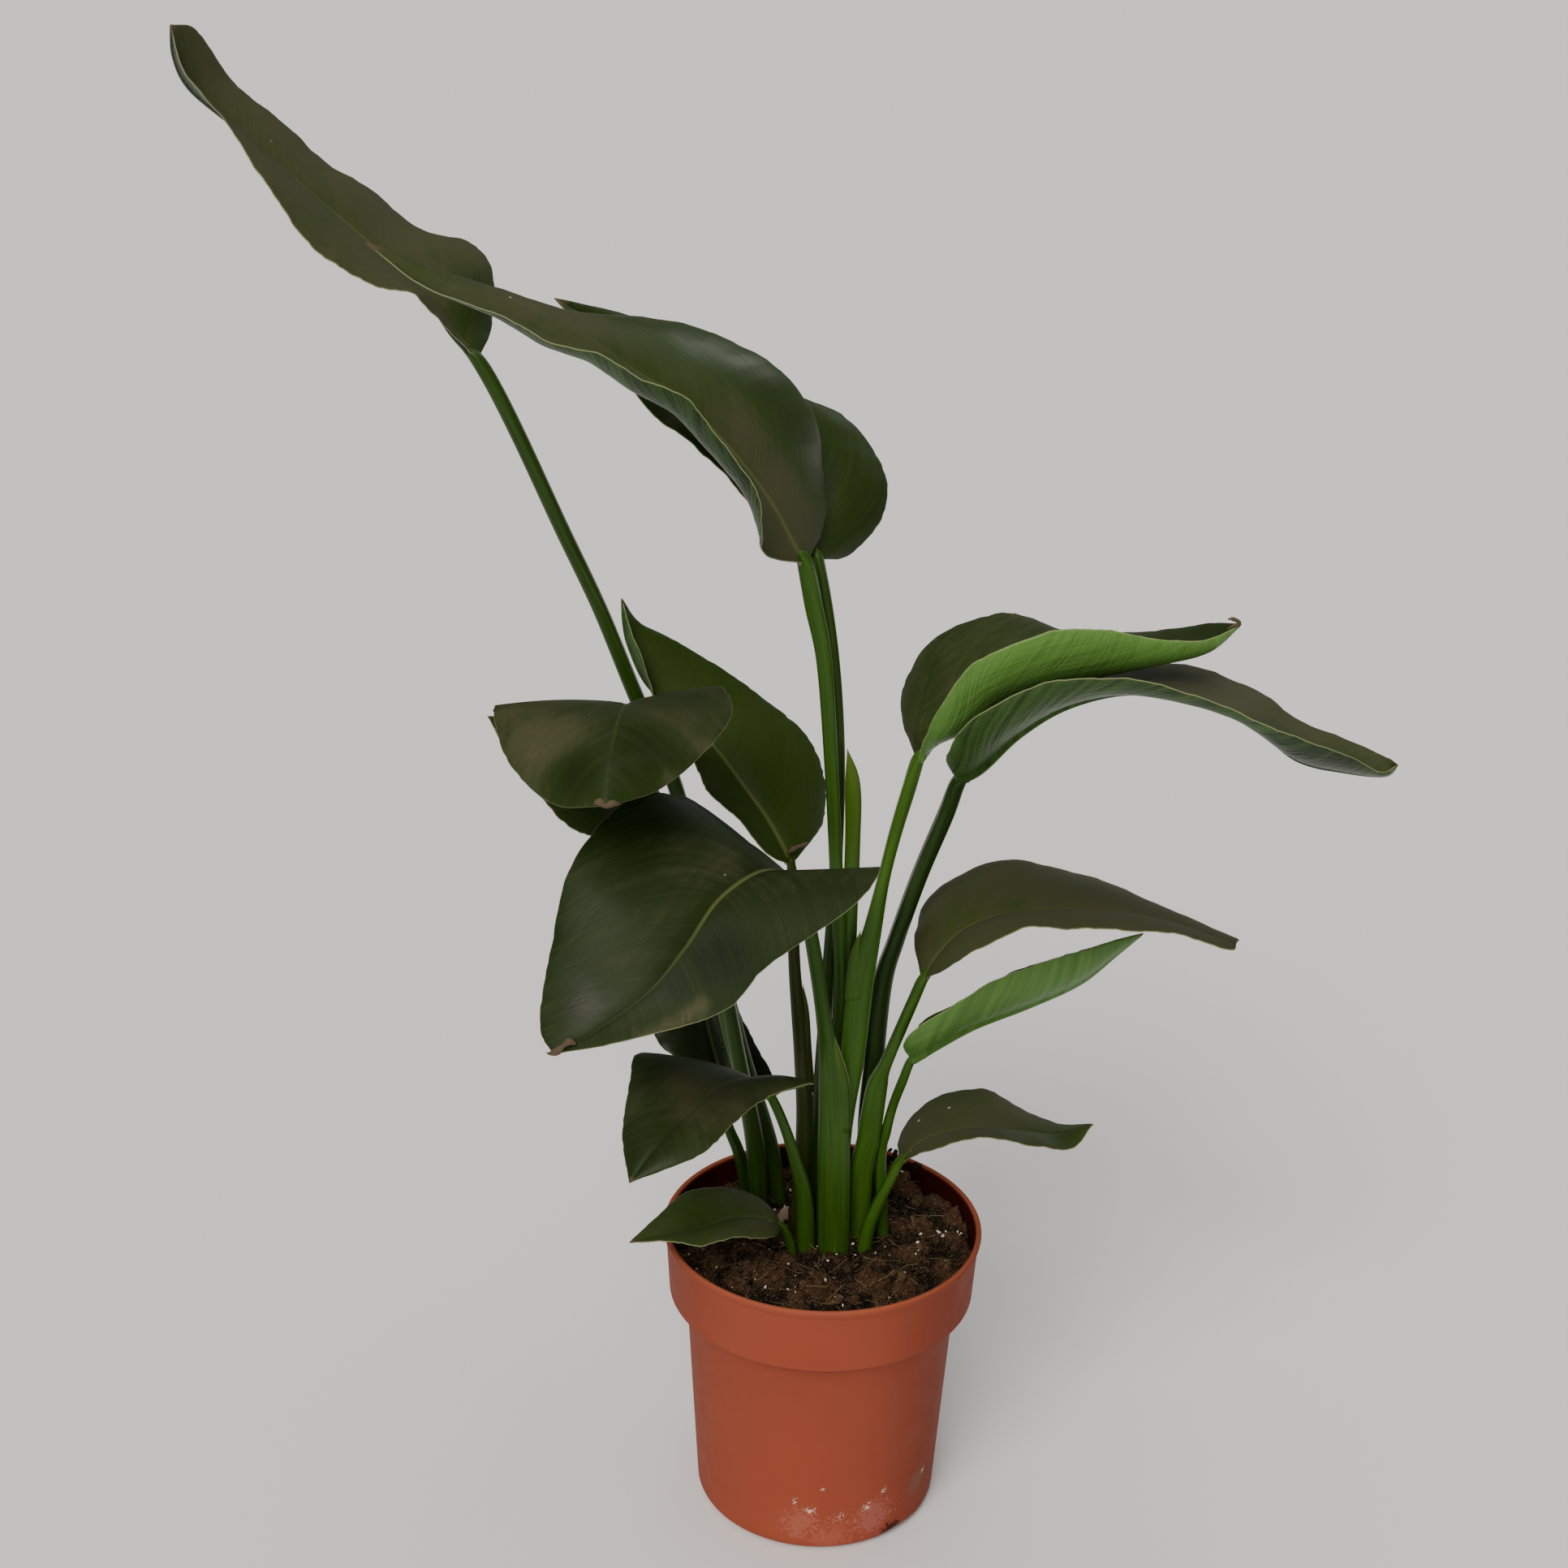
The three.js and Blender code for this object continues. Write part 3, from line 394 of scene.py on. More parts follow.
# The small leaf low on the right, with a kicked-up tip
LEAVES["low_right"] = {
    "inward": (-1, 0), "bow": (0.02, 0.04), "base": (39, 0, 201), "tip": (138, -18, 238),
    "stalk": [
        (21, -4, 130, 9, 6.5), (23, -3, 157, 8.5, 6.5), (28, -2, 175, 7, 6.5), (35, -1, 192, 6, 6),
    ],
    "rows": [
        (49, -4, 217, 41, 18, 209, 55, -20, 221), (64, -8, 226, 58, 30, 224, 71, -34, 236),
        (82, -12, 231, 84, 30, 230, 89, -40, 240), (103, -15, 231, 104, 20, 225, 109, -40, 236),
        (121, -17, 231, 122, 2, 226, 126, -32, 231),
    ],
}
row_count = sum(len(leaf["rows"]) for leaf in LEAVES.values())
print(len(LEAVES), "leaves,", row_count, "rows of blade points")

# %% [markdown]
# A curve through a few points is a Catmull-Rom spline here, because it passes through every point
# that was chosen, and so the finer leaf covers the plain solid exactly.

# %% Curves and directions
def curve_through(points, shares):
    """Places on the smooth curve through the points, at shares 0 to 1 of the way along."""
    p = np.asarray(points, float)
    p = np.vstack([2 * p[0] - p[1], p, 2 * p[-1] - p[-2]])
    reach = np.clip(shares, 0, 1) * (len(points) - 1)
    i = np.minimum(reach.astype(int), len(points) - 2)
    w = (reach - i)[:, None]
    a, b, c, d = p[i], p[i + 1], p[i + 2], p[i + 3]
    bend = (2 * a - 5 * b + 4 * c - d) * w ** 2 + (3 * b - a - 3 * c + d) * w ** 3
    return 0.5 * (2 * b + (c - a) * w + bend)


def unit(vectors):
    """The vectors, each made one long."""
    return vectors / np.maximum(np.linalg.norm(vectors, axis=-1, keepdims=True), 1e-9)


def lengths_along(points):
    """The distance travelled at each point of a line of points."""
    return np.concatenate([[0], np.cumsum(np.linalg.norm(np.diff(points, axis=0), axis=1))])

# %% [markdown]
# A blade's points lie in rows across the leaf. Most columns are spread evenly, but the last ones
# sit a fixed distance from the margin and the midrib, so that the pale line along the margin is as
# thin at the broad middle of a leaf as at its tip. Each point also gets the measures that the
# finishes draw with: how far it is from the margin and the rib, how near the tip, and where it lies
# along the veins.

# %% Blade points
ROWS_PER_STATION = 10
EVEN_COLUMNS = 10
RIB_HALF_WIDTH = (3.4, 0.9)  # at the base of the blade and at its tip
MARGIN_BEAD = 0.8
WAVE_HEIGHT = 0.7
EDGE_NICK = 0.8
BASE_FRILL = 2.5  # how much more the margin waves in the two corners at the base of the blade
FRILL_AT = 0.08  # the middle of those corners, as a share of the blade's length
WAVE_LENGTH = 37
WIDEST_RIB, WIDEST_BEAD = 0.35, 0.2  # the most that each may take of a half of the blade
VEIN_SLANT = 0.75
VEIN_CURL = 0.006
ACROSS_VEINS = 0.05
LEAF_SHIFT = 7  # sets each leaf apart in the noise, so that no two have the same veins


def ripple(distance, start):
    """An uneven wave, about one high: three sines whose lengths never fall in step."""
    turn = distance * 2 * math.pi / WAVE_LENGTH + start
    return 0.55 * np.sin(turn) + 0.3 * np.sin(2.3 * turn + 1.7) + 0.15 * np.sin(5.1 * turn + 0.4)


def join_halves(left, right):
    """The left half's columns turned round and set before the right half's, sharing the midrib."""
    return np.concatenate([left[:, ::-1], right[:, 1:]], axis=1)


def blade_rows(leaf, phase):
    """The middle surface of a blade as rows of points, with the measures of each point."""
    shares = np.linspace(0, 1, (len(leaf["rows"]) + 1) * ROWS_PER_STATION + 1)
    midrib, left, right = [
        curve_through([leaf["base"], *(row[k:k + 3] for row in leaf["rows"]), leaf["tip"]], shares)
        for k in (0, 3, 6)
    ]
    ahead = unit(np.gradient(midrib, axis=0))
    travelled = lengths_along(midrib)
    rib = np.interp(shares, [0, 1], RIB_HALF_WIDTH)
    calm_ends = np.sin(math.pi * shares)[:, None] ** 0.5
    frill = 1 + BASE_FRILL * np.exp(-(((shares - FRILL_AT) / FRILL_AT) ** 2))[:, None]
    even = np.linspace(0, 1, EVEN_COLUMNS + 2)
    halves = []
    for side, margin, bow in ((-1, left, -leaf["bow"][0]), (1, right, leaf["bow"][1])):
        half = margin - midrib
        width = np.maximum(np.linalg.norm(half, axis=1), 1e-6)
        near_rib = np.minimum(rib / width, WIDEST_RIB)[:, None]
        near_margin = 1 - np.minimum(MARGIN_BEAD / width, WIDEST_BEAD)[:, None]
        spread = near_rib + (near_margin - near_rib) * even[None, :]
        ends = np.zeros((len(shares), 1))
        column = np.hstack([ends, near_rib / 2, spread, ends + 1])
        swell = bow * width[:, None] * 4 * column * (1 - column)
        wave = WAVE_HEIGHT * side * ripple(travelled, phase + side)[:, None] * column ** 2
        wave = wave * calm_ends * frill
        nick = EDGE_NICK * ripple(travelled * 2.6, phase * 3 - side)[:, None] * column ** 3
        place = midrib[:, None] + half[:, None] * column[..., None]
        place = place + unit(np.cross(half, ahead))[:, None] * (swell + wave)[..., None]
        place = place - unit(half)[:, None] * np.abs(nick * calm_ends)[..., None]
        out = column * width[:, None]
        vein = travelled[:, None] - VEIN_SLANT * out - VEIN_CURL * out ** 2
        across = ACROSS_VEINS * out * side
        measures = {
            "rib": out / rib[:, None],
            "margin": width[:, None] - out,
            "tip": np.repeat(shares[:, None], column.shape[1], axis=1),
            "grain": np.stack([vein, across, np.full_like(out, phase * LEAF_SHIFT)], axis=-1),
        }
        halves.append((place, measures))
    (left_place, left_measures), (right_place, right_measures) = halves
    measures = {key: join_halves(left_measures[key], right_measures[key]) for key in left_measures}
    return join_halves(left_place, right_place), measures, shares


def upper_normals(rows):
    """The direction that the upper face of a blade looks in, at each point."""
    along = np.gradient(rows, axis=0)
    across = np.gradient(rows, axis=1)
    across[0], across[-1] = across[1], across[-2]
    return unit(np.cross(across, along))

# %% [markdown]
# A blade is a thin closed shell: about 0.8 mm thick, thinner still at the margin, with a shallow
# channel over the midrib and a rounded keel under it. Solidify could thicken a sheet, but it would
# not give the keel, so the two faces are set off from the middle surface here.

# %% Blade shell
BLADE_THICKNESS = 0.8
KEEL_DEPTH = 2.4
CHANNEL_DEPTH = 0.9
CHANNEL_START = 12  # the channel is as deep as it gets a twelfth of the way along


def blade_rings(rows, measures, shares):
    """One closed ring of points for each row of a blade: the lower face and back over the upper."""
    normals = upper_normals(rows)
    round_rib = np.exp(-measures["rib"] ** 2)
    shrink = (1 - shares)[:, None]
    start_in = np.minimum(shares * CHANNEL_START, 1)[:, None]
    channel = -CHANNEL_DEPTH * (0.3 + 0.7 * shrink) * round_rib * start_in
    thick = BLADE_THICKNESS * (1 - 0.5 * np.exp(-measures["margin"] / 0.5)) / 2
    keel = KEEL_DEPTH * shrink * np.clip(1 - measures["rib"] ** 2, 0, 1) ** 0.5
    upper = rows + normals * (thick + channel)[..., None]
    lower = rows - normals * (thick - channel + keel)[..., None]
    rings = np.concatenate([lower[:, ::-1], upper], axis=1)
    measures = {key: np.concatenate([v[:, ::-1], v], axis=1) for key, v in measures.items()}
    return rings, measures

# %% [markdown]
# The stalk is a grooved oval swept up its own curve. Its widths along X and Y are given apart,
# because the stalks of a clump press each other flat. A sheath, the papery-edged wing that clasps
# the next stalk, is the same sweep drawn out to a point.

# %% Stalk rings
STALK_SIDES = 24
RINGS_PER_POINT = 7
GROOVE_DEPTH = 0.3
GROOVE_WIDTH = 0.6
STALK_GRAIN = 0.04
FAR_FROM_ANY_MARGIN = 50.0


def stalk_rings(points, facing, facing_at_end, blend_from, phase, is_sheath):
    """Rings up a stalk or a sheath, whose groove turns from one direction to another at the end."""
    points = np.asarray(points, float)
    shares = np.linspace(0, 1, (len(points) - 1) * RINGS_PER_POINT + 1)
    centre = curve_through(points[:, :3], shares)
    size = np.maximum(curve_through(points[:, 3:], shares), 0.02)
    ahead = unit(np.gradient(centre, axis=0))
    late = np.maximum((shares - blend_from) / (1 - blend_from), 0)[:, None] if blend_from < 1 else 0
    groove = np.asarray(facing) * (1 - late) + np.asarray(facing_at_end) * late + 0 * ahead
    groove = unit(groove - ahead * np.sum(groove * ahead, axis=1, keepdims=True))
    beside_way = np.cross(ahead, groove)
    start = math.atan2(facing[1], facing[0])
    angle = np.arange(STALK_SIDES) / STALK_SIDES * 2 * math.pi
    turn = np.arctan2(np.sin(angle - start), np.cos(angle - start))
    reach = 1 - GROOVE_DEPTH * np.exp(-((turn / GROOVE_WIDTH) ** 2))
    wide = size[:, :1] / 2 * np.cos(angle) * reach
    deep = size[:, 1:] / 2 * np.sin(angle) * reach
    along = (wide * math.cos(start) + deep * math.sin(start))[..., None]
    beside = (-wide * math.sin(start) + deep * math.cos(start))[..., None]
    rings = centre[:, None] + groove[:, None] * along + beside_way[:, None] * beside
    travelled = lengths_along(centre)[:, None] + 0 * wide
    edge = (1 - np.abs(np.cos(angle))) * size[:, :1] + 0.25 if is_sheath else FAR_FROM_ANY_MARGIN
    shift = travelled * STALK_GRAIN + phase * LEAF_SHIFT
    measures = {
        "rib": np.full_like(wide, FAR_FROM_ANY_MARGIN),
        "margin": edge + 0 * wide,
        "tip": shares[:, None] + 0 * wide if is_sheath else 0 * wide,
        "mark": 0 * wide,
        "grain": np.stack([wide, deep, shift], axis=-1),
    }
    return rings, measures

# %% [markdown]
# A leaf's mesh joins its closed shells, each a stack of rings that narrows to a point or a cap at
# both ends. The measures go in as attributes on the points, and each face is told which finish it
# takes.

# %% Leaf mesh
UPPER_FACE, UNDERSIDE, STALK = range(3)


def new_mesh(name, points, faces):
    """A mesh in metres."""
    mesh = bpy.data.meshes.new(name)
    mesh.from_pydata(points, [], faces)
    mesh.update()
    return mesh


class LeafBody:
    """The points, faces and measures of one leaf, shell by shell."""

    def __init__(self):
        self.points, self.faces, self.finishes = [], [], []
        self.measures = {"rib": [], "margin": [], "tip": [], "mark": [], "grain": []}

    def add_shell(self, rings, measures, finishes, pole_column):
        """Adds a closed shell. The end rings shrink to their own centres."""
        last, sides = rings.shape[0] - 1, rings.shape[1]
        low = len(self.points)
        inner = rings[1:last].reshape(-1, 3)
        self.points += [rings[0].mean(axis=0), *inner, rings[last].mean(axis=0)]
        for key, store in self.measures.items():
            values = measures[key]
            inner = values[1:last].reshape(-1, *values.shape[2:])
            store += [values[0, pole_column], *inner, values[last, pole_column]]
        start, high = low + 1, len(self.points) - 1
        for i in range(last - 2):
            for k in range(sides):
                a, b = start + i * sides + k, start + i * sides + (k + 1) % sides
                self.faces.append((a, b, b + sides, a + sides))
                self.finishes.append(finishes[k])
        top = start + (last - 2) * sides
        for k in range(sides):
            after = (k + 1) % sides
            self.faces += [(low, start + after, start + k), (top + k, top + after, high)]
            self.finishes += [finishes[k]] * 2

    def to_object(self, name, materials, tones):
        """The leaf as a Blender object, in metres, with its measures as attributes."""
        mesh = new_mesh(name, (np.array(self.points) * MM).tolist(), self.faces)
        for key, values in self.measures.items():
            kind, slot_name = ("FLOAT_VECTOR", "vector") if key == "grain" else ("FLOAT", "value")
            attribute = mesh.attributes.new(key, kind, "POINT")
            attribute.data.foreach_set(slot_name, np.array(values, np.float32).ravel())
        for key, values in tones.items():
            attribute = mesh.attributes.new(key, "FLOAT", "FACE")
            attribute.data.foreach_set("value", [values[finish] for finish in self.finishes])
        for material in materials:
            mesh.materials.append(material)
        mesh.polygons.foreach_set("material_index", self.finishes)
        mesh.shade_smooth()
        return put_in_scene(name, mesh)

# %% [markdown]
# ## Leaf finishes
#
# The upper face of a blade is a thick waxy skin, satin rather than shiny, and on a house plant it
# carries a grey-brown bloom of dust that lies in streaks along the side veins and dulls the wax.
# The underside is fresher and brighter. Both are the same tree with other colours: clouds and
# streaks of noise mix dust into the green, and the measures kept on the points draw the pale rib,
# the thin pale margin and the dry tip. The streaks read the grain measure, so they follow the veins
# round every fold.

# %% Blade finishes
DRY_BROWN = "#554a38"
PALE_EDGE = "#9a9f78"
SCUFF_BROWN = "#605b43"
PERLITE_WHITE = "#b9bba6"
WAX_IOR = 1.45
WAX_SHINE = 0.2  # specular level: the wax bloom scatters most of what a clear coat would reflect
CLEAN_SHINE = 0.26
WAX_ROUGHNESS, DUST_ROUGHNESS = 0.34, 0.66
FINE_VEINS_PER_MM = 0.9
STREAKS_PER_MM = 0.2
BRUSHED_PER_MM = (0.02, 6, 1)  # along the vein measure, and across the leaf in steps of 20 mm
CREASES_PER_MM = 0.05
CLOUDS_PER_METRE = 26
SPECKS_PER_METRE = 60
SCRAPES_PER_METRE = 380
DUST_GRAINS_PER_METRE = 900  # drawn about a millimetre wide, as real dust is too fine to show


def blade_finish(name, fresh, deep, dusty, pale, dust_from, shine, vein_depth, vein_tone):
    """The skin of one face of a blade, dusty where the noise is above dust_from."""
    material, tree, shader = new_finish(name)
    place = add_node(tree, "ShaderNodeTexCoord").outputs["Object"]
    measure = {
        key: add_node(tree, "ShaderNodeAttribute", attribute_name=key).outputs
        for key in ("grain", "rib", "margin", "tip", "mark", "dust", "dark_and_shaded", "paleness")
    }
    grain = measure["grain"]["Vector"]
    clouds = add_node(tree, "ShaderNodeTexNoise", {
        "Vector": place, "Scale": CLOUDS_PER_METRE, "Detail": 6, "Roughness": 0.62,
    })
    streaks = add_node(tree, "ShaderNodeTexNoise", {
        "Vector": grain, "Scale": STREAKS_PER_MM, "Detail": 3, "Roughness": 0.5,
    })
    veins = add_node(tree, "ShaderNodeTexNoise", {
        "Vector": grain, "Scale": FINE_VEINS_PER_MM, "Detail": 2, "Roughness": 0.5,
    })
    # Lines along the leaf, where a cloth or a sleeve has brushed the dust
    lengthwise = add_node(tree, "ShaderNodeVectorMath", {
        0: grain, 1: BRUSHED_PER_MM,
    }, operation="MULTIPLY")
    brushed = add_node(tree, "ShaderNodeTexNoise", {
        "Vector": lengthwise.outputs[0], "Scale": 1, "Detail": 3, "Roughness": 0.6,
    })
    dust_grains = add_node(tree, "ShaderNodeTexNoise", {
        "Vector": place, "Scale": DUST_GRAINS_PER_METRE, "Detail": 3, "Roughness": 0.7,
    })
    folds = add_node(tree, "ShaderNodeTexNoise", {
        "Vector": grain, "Scale": CREASES_PER_MM, "Detail": 0,
    })
    # A crease runs where this slow noise crosses its middle
    crease = add_node(tree, "ShaderNodeMath", {
        0: folds.outputs["Fac"], 1: 0.5, 2: 0.012,
    }, operation="COMPARE")
    lined = add_node(tree, "ShaderNodeMix", {
        0: 0.5, 2: streaks.outputs["Fac"], 3: brushed.outputs["Fac"],
    })
    patchy = add_node(tree, "ShaderNodeMix", {
        0: 0.45, 2: clouds.outputs["Fac"], 3: lined.outputs[0],
    })
    mottle = add_node(tree, "ShaderNodeMix", {
        0: 0.12, 2: patchy.outputs[0], 3: dust_grains.outputs["Fac"],
    })
    settled = add_node(tree, "ShaderNodeMath", {
        0: measure["mark"]["Fac"], 1: 0.45, 2: measure["dust"]["Fac"],
    }, operation="MULTIPLY_ADD")
    laid_dust = add_node(tree, "ShaderNodeMath", {
        0: settled.outputs[0], 1: mottle.outputs[0],
    }, operation="ADD")
    dust = add_node(tree, "ShaderNodeMapRange", {
        "Value": laid_dust.outputs[0], "From Min": dust_from, "From Max": dust_from + 0.35,
    }, interpolation_type="SMOOTHSTEP")
    # The green is deeper in an old leaf and in painted shade, where it was wiped clean, and between
    # the veins
    wiped = add_node(tree, "ShaderNodeMapRange", {
        "Value": measure["mark"]["Fac"], "From Min": -1, "From Max": 0, "To Min": 0.3, "To Max": 0,
    })
    between_veins = add_node(tree, "ShaderNodeMapRange", {
        "Value": streaks.outputs["Fac"], "From Min": 0.35, "From Max": 0.65,
        "To Min": vein_tone, "To Max": -vein_tone,
    })
    shade = add_node(tree, "ShaderNodeMath", {
        0: measure["dark_and_shaded"]["Fac"], 1: wiped.outputs[0],
    }, operation="ADD")
    depth = add_node(tree, "ShaderNodeMath", {
        0: shade.outputs[0], 1: between_veins.outputs[0],
    }, operation="ADD", use_clamp=True)
    green = add_node(tree, "ShaderNodeMix", {
        FACTOR: depth.outputs[0], FIRST: paint(fresh), SECOND: paint(deep),
    }, data_type="RGBA")
    dusted = add_node(tree, "ShaderNodeMix", {
        FACTOR: dust.outputs[0], FIRST: green.outputs[MIXED], SECOND: paint(dusty),
    }, data_type="RGBA")
    # Scuffs show at the marks, where a fine noise is high
    scrape = add_node(tree, "ShaderNodeTexNoise", {
        "Vector": place, "Scale": SCRAPES_PER_METRE, "Detail": 5, "Roughness": 0.7,
        "Distortion": 0.6,
    })
    broken = add_node(tree, "ShaderNodeMix", {
        0: 0.4, 2: scrape.outputs["Fac"], 3: veins.outputs["Fac"],
    })
    soiled_and_shaded = add_node(tree, "ShaderNodeMath", {
        0: broken.outputs[0], 1: 2, 2: measure["mark"]["Fac"],
    }, operation="MULTIPLY_ADD")
    scuff = add_node(tree, "ShaderNodeMapRange", {
        "Value": soiled_and_shaded.outputs[0], "From Min": 1.5, "From Max": 2.0, "To Max": 0.8,
    })
    scuffed = add_node(tree, "ShaderNodeMix", {
        FACTOR: scuff.outputs[0], FIRST: dusted.outputs[MIXED], SECOND: paint(SCUFF_BROWN),
    }, data_type="RGBA")
    vein_lift = add_node(tree, "ShaderNodeMapRange", {
        "Value": veins.outputs["Fac"], "From Min": 0.45, "From Max": 0.75, "To Max": 0.04,
    })
    veined = add_node(tree, "ShaderNodeMix", {
        FACTOR: vein_lift.outputs[0], FIRST: scuffed.outputs[MIXED], SECOND: paint(pale),
    }, data_type="RGBA")
    # The pale midrib, which fades towards the tip; the pale margin; the dry end of the tip
    rib_line = add_node(tree, "ShaderNodeMapRange", {
        "Value": measure["rib"]["Fac"], "From Min": 0.15, "From Max": 0.6,
        "To Min": 1, "To Max": 0,
    }, interpolation_type="SMOOTHSTEP")
    rib_fade = add_node(tree, "ShaderNodeMapRange", {
        "Value": measure["tip"]["Fac"], "From Min": 0.35, "From Max": 0.75,
        "To Min": 1, "To Max": 0,
    })
    rib_tone = add_node(tree, "ShaderNodeMath", {
        0: rib_fade.outputs[0], 1: measure["paleness"]["Fac"],
    }, operation="MULTIPLY")
    rib = add_node(tree, "ShaderNodeMath", {
        0: rib_line.outputs[0], 1: rib_tone.outputs[0],
    }, operation="MULTIPLY")
    ribbed = add_node(tree, "ShaderNodeMix", {
        FACTOR: rib.outputs[0], FIRST: veined.outputs[MIXED], SECOND: paint(pale),
    }, data_type="RGBA")
    edge = add_node(tree, "ShaderNodeMapRange", {
        "Value": measure["margin"]["Fac"], "From Min": 0.1, "From Max": 0.45,
        "To Min": 0.6, "To Max": 0,
    })
    edged = add_node(tree, "ShaderNodeMix", {
        FACTOR: edge.outputs[0], FIRST: ribbed.outputs[MIXED], SECOND: paint(PALE_EDGE),
    }, data_type="RGBA")
    ragged_tip = add_node(tree, "ShaderNodeMath", {
        0: streaks.outputs["Fac"], 1: 0.03, 2: measure["tip"]["Fac"],
    }, operation="MULTIPLY_ADD")
    dried = add_node(tree, "ShaderNodeMapRange", {
        "Value": ragged_tip.outputs[0], "From Min": 0.985, "From Max": 1.0,
    })
    skin = add_node(tree, "ShaderNodeMix", {
        FACTOR: dried.outputs[0], FIRST: edged.outputs[MIXED], SECOND: paint(DRY_BROWN),
    }, data_type="RGBA")
    # White specks of perlite dust: dots under a millimetre, in one cell out of eight
    cells = add_node(tree, "ShaderNodeTexVoronoi", {"Vector": place, "Scale": SPECKS_PER_METRE})
    dots = add_node(tree, "ShaderNodeMath", {
        0: cells.outputs["Distance"], 1: 0.05,
    }, operation="LESS_THAN")
    kept = add_node(tree, "ShaderNodeMath", {
        0: cells.outputs["Color"], 1: 0.62,
    }, operation="GREATER_THAN")
    specks = add_node(tree, "ShaderNodeMath", {
        0: dots.outputs[0], 1: kept.outputs[0],
    }, operation="MULTIPLY")
    dusty_specks = add_node(tree, "ShaderNodeMath", {
        0: specks.outputs[0], 1: dust.outputs[0],
    }, operation="MULTIPLY")
    speckled = add_node(tree, "ShaderNodeMix", {
        FACTOR: dusty_specks.outputs[0], FIRST: skin.outputs[MIXED], SECOND: paint(PERLITE_WHITE),
    }, data_type="RGBA")
    tree.links.new(speckled.outputs[MIXED], shader.inputs["Base Color"])
    dulled = add_node(tree, "ShaderNodeMapRange", {
        "Value": laid_dust.outputs[0], "From Min": dust_from - 0.25, "From Max": dust_from + 0.3,
        "To Min": WAX_ROUGHNESS, "To Max": DUST_ROUGHNESS,
    })
    tree.links.new(dulled.outputs[0], shader.inputs["Roughness"])
    relief = add_node(tree, "ShaderNodeMath", {
        0: lined.outputs[0], 1: 2.5, 2: veins.outputs["Fac"],
    }, operation="MULTIPLY_ADD")
    creased = add_node(tree, "ShaderNodeMath", {
        0: crease.outputs[0], 1: -0.5, 2: relief.outputs[0],
    }, operation="MULTIPLY_ADD")
    bump = add_node(tree, "ShaderNodeBump", {
        "Strength": 0.6, "Distance": vein_depth * MM, "Height": creased.outputs[0],
    })
    tree.links.new(bump.outputs[0], shader.inputs["Normal"])
    shader.inputs["IOR"].default_value = WAX_IOR
    shader.inputs["Specular IOR Level"].default_value = shine
    return material


# The dusty upper skin: a satin wax layer, dulled by house dust
waxy_leaf_top = blade_finish(
    "waxy_leaf_top", fresh="#2f4314", deep="#0f1c07", dusty="#43462e", pale="#6c7643",
    dust_from=0.78, shine=WAX_SHINE, vein_depth=0.15, vein_tone=0.05,
)
# The clean underside: brighter and a little shinier, with its side veins standing out
fresh_leaf_underside = blade_finish(
    "fresh_leaf_underside", fresh="#5f8c40", deep="#14280a", dusty="#3c422c", pale="#78a04c",
    dust_from=0.96, shine=CLEAN_SHINE, vein_depth=0.9, vein_tone=0.12,
)
print("blade finishes:", waxy_leaf_top.name, fresh_leaf_underside.name)

# %% [markdown]
# A stalk is smooth and waxy too, with fine fibres along it. Each leaf's two tones say how dark and
# how brown its stalk is; the darkness is partly the age of the stalk and partly painted shade. A
# sheath has the same skin, which yellows towards its end, with a pale thin edge and a papery brown
# tip.

# %% Stalk finish
STALK_FIBRES_PER_MM = 0.7

smooth_leaf_stalk, tree, shader = new_finish("smooth_leaf_stalk")
measure = {
    key: add_node(tree, "ShaderNodeAttribute", attribute_name=key).outputs
    for key in ("grain", "margin", "tip", "dust", "dark_and_shaded")
}
fibres = add_node(tree, "ShaderNodeTexNoise", {
    "Vector": measure["grain"]["Vector"], "Scale": STALK_FIBRES_PER_MM, "Detail": 4,
    "Roughness": 0.6,
})
fibre_tone = add_node(tree, "ShaderNodeMapRange", {
    "Value": fibres.outputs["Fac"], "From Min": 0.3, "From Max": 0.7,
    "To Min": -0.18, "To Max": 0.18,
})
depth = add_node(tree, "ShaderNodeMath", {
    0: measure["dark_and_shaded"]["Fac"], 1: fibre_tone.outputs[0],
}, operation="ADD", use_clamp=True)
green = add_node(tree, "ShaderNodeMix", {
    FACTOR: depth.outputs[0], FIRST: paint("#3d641a"), SECOND: paint("#0f2207"),
}, data_type="RGBA")
browned = add_node(tree, "ShaderNodeMix", {
    FACTOR: measure["dust"]["Fac"], FIRST: green.outputs[MIXED], SECOND: paint("#33280f"),
}, data_type="RGBA")
yellowing = add_node(tree, "ShaderNodeMapRange", {
    "Value": measure["tip"]["Fac"], "From Min": 0.3, "From Max": 0.95, "To Max": 0.35,
})
yellowed = add_node(tree, "ShaderNodeMix", {
    FACTOR: yellowing.outputs[0], FIRST: browned.outputs[MIXED], SECOND: paint("#647826"),
}, data_type="RGBA")
edge = add_node(tree, "ShaderNodeMapRange", {
    "Value": measure["margin"]["Fac"], "From Min": 0.35, "From Max": 1.1,
    "To Min": 0.7, "To Max": 0,
})
edged = add_node(tree, "ShaderNodeMix", {
    FACTOR: edge.outputs[0], FIRST: yellowed.outputs[MIXED], SECOND: paint(PALE_EDGE),
}, data_type="RGBA")
papery = add_node(tree, "ShaderNodeMapRange", {
    "Value": measure["tip"]["Fac"], "From Min": 0.93, "From Max": 0.99,
})
skin = add_node(tree, "ShaderNodeMix", {
    FACTOR: papery.outputs[0], FIRST: edged.outputs[MIXED], SECOND: paint("#6f5a40"),
}, data_type="RGBA")
tree.links.new(skin.outputs[MIXED], shader.inputs["Base Color"])
bump = add_node(tree, "ShaderNodeBump", {
    "Strength": 0.5, "Distance": 0.25 * MM, "Height": fibres.outputs["Fac"],
})
tree.links.new(bump.outputs[0], shader.inputs["Normal"])
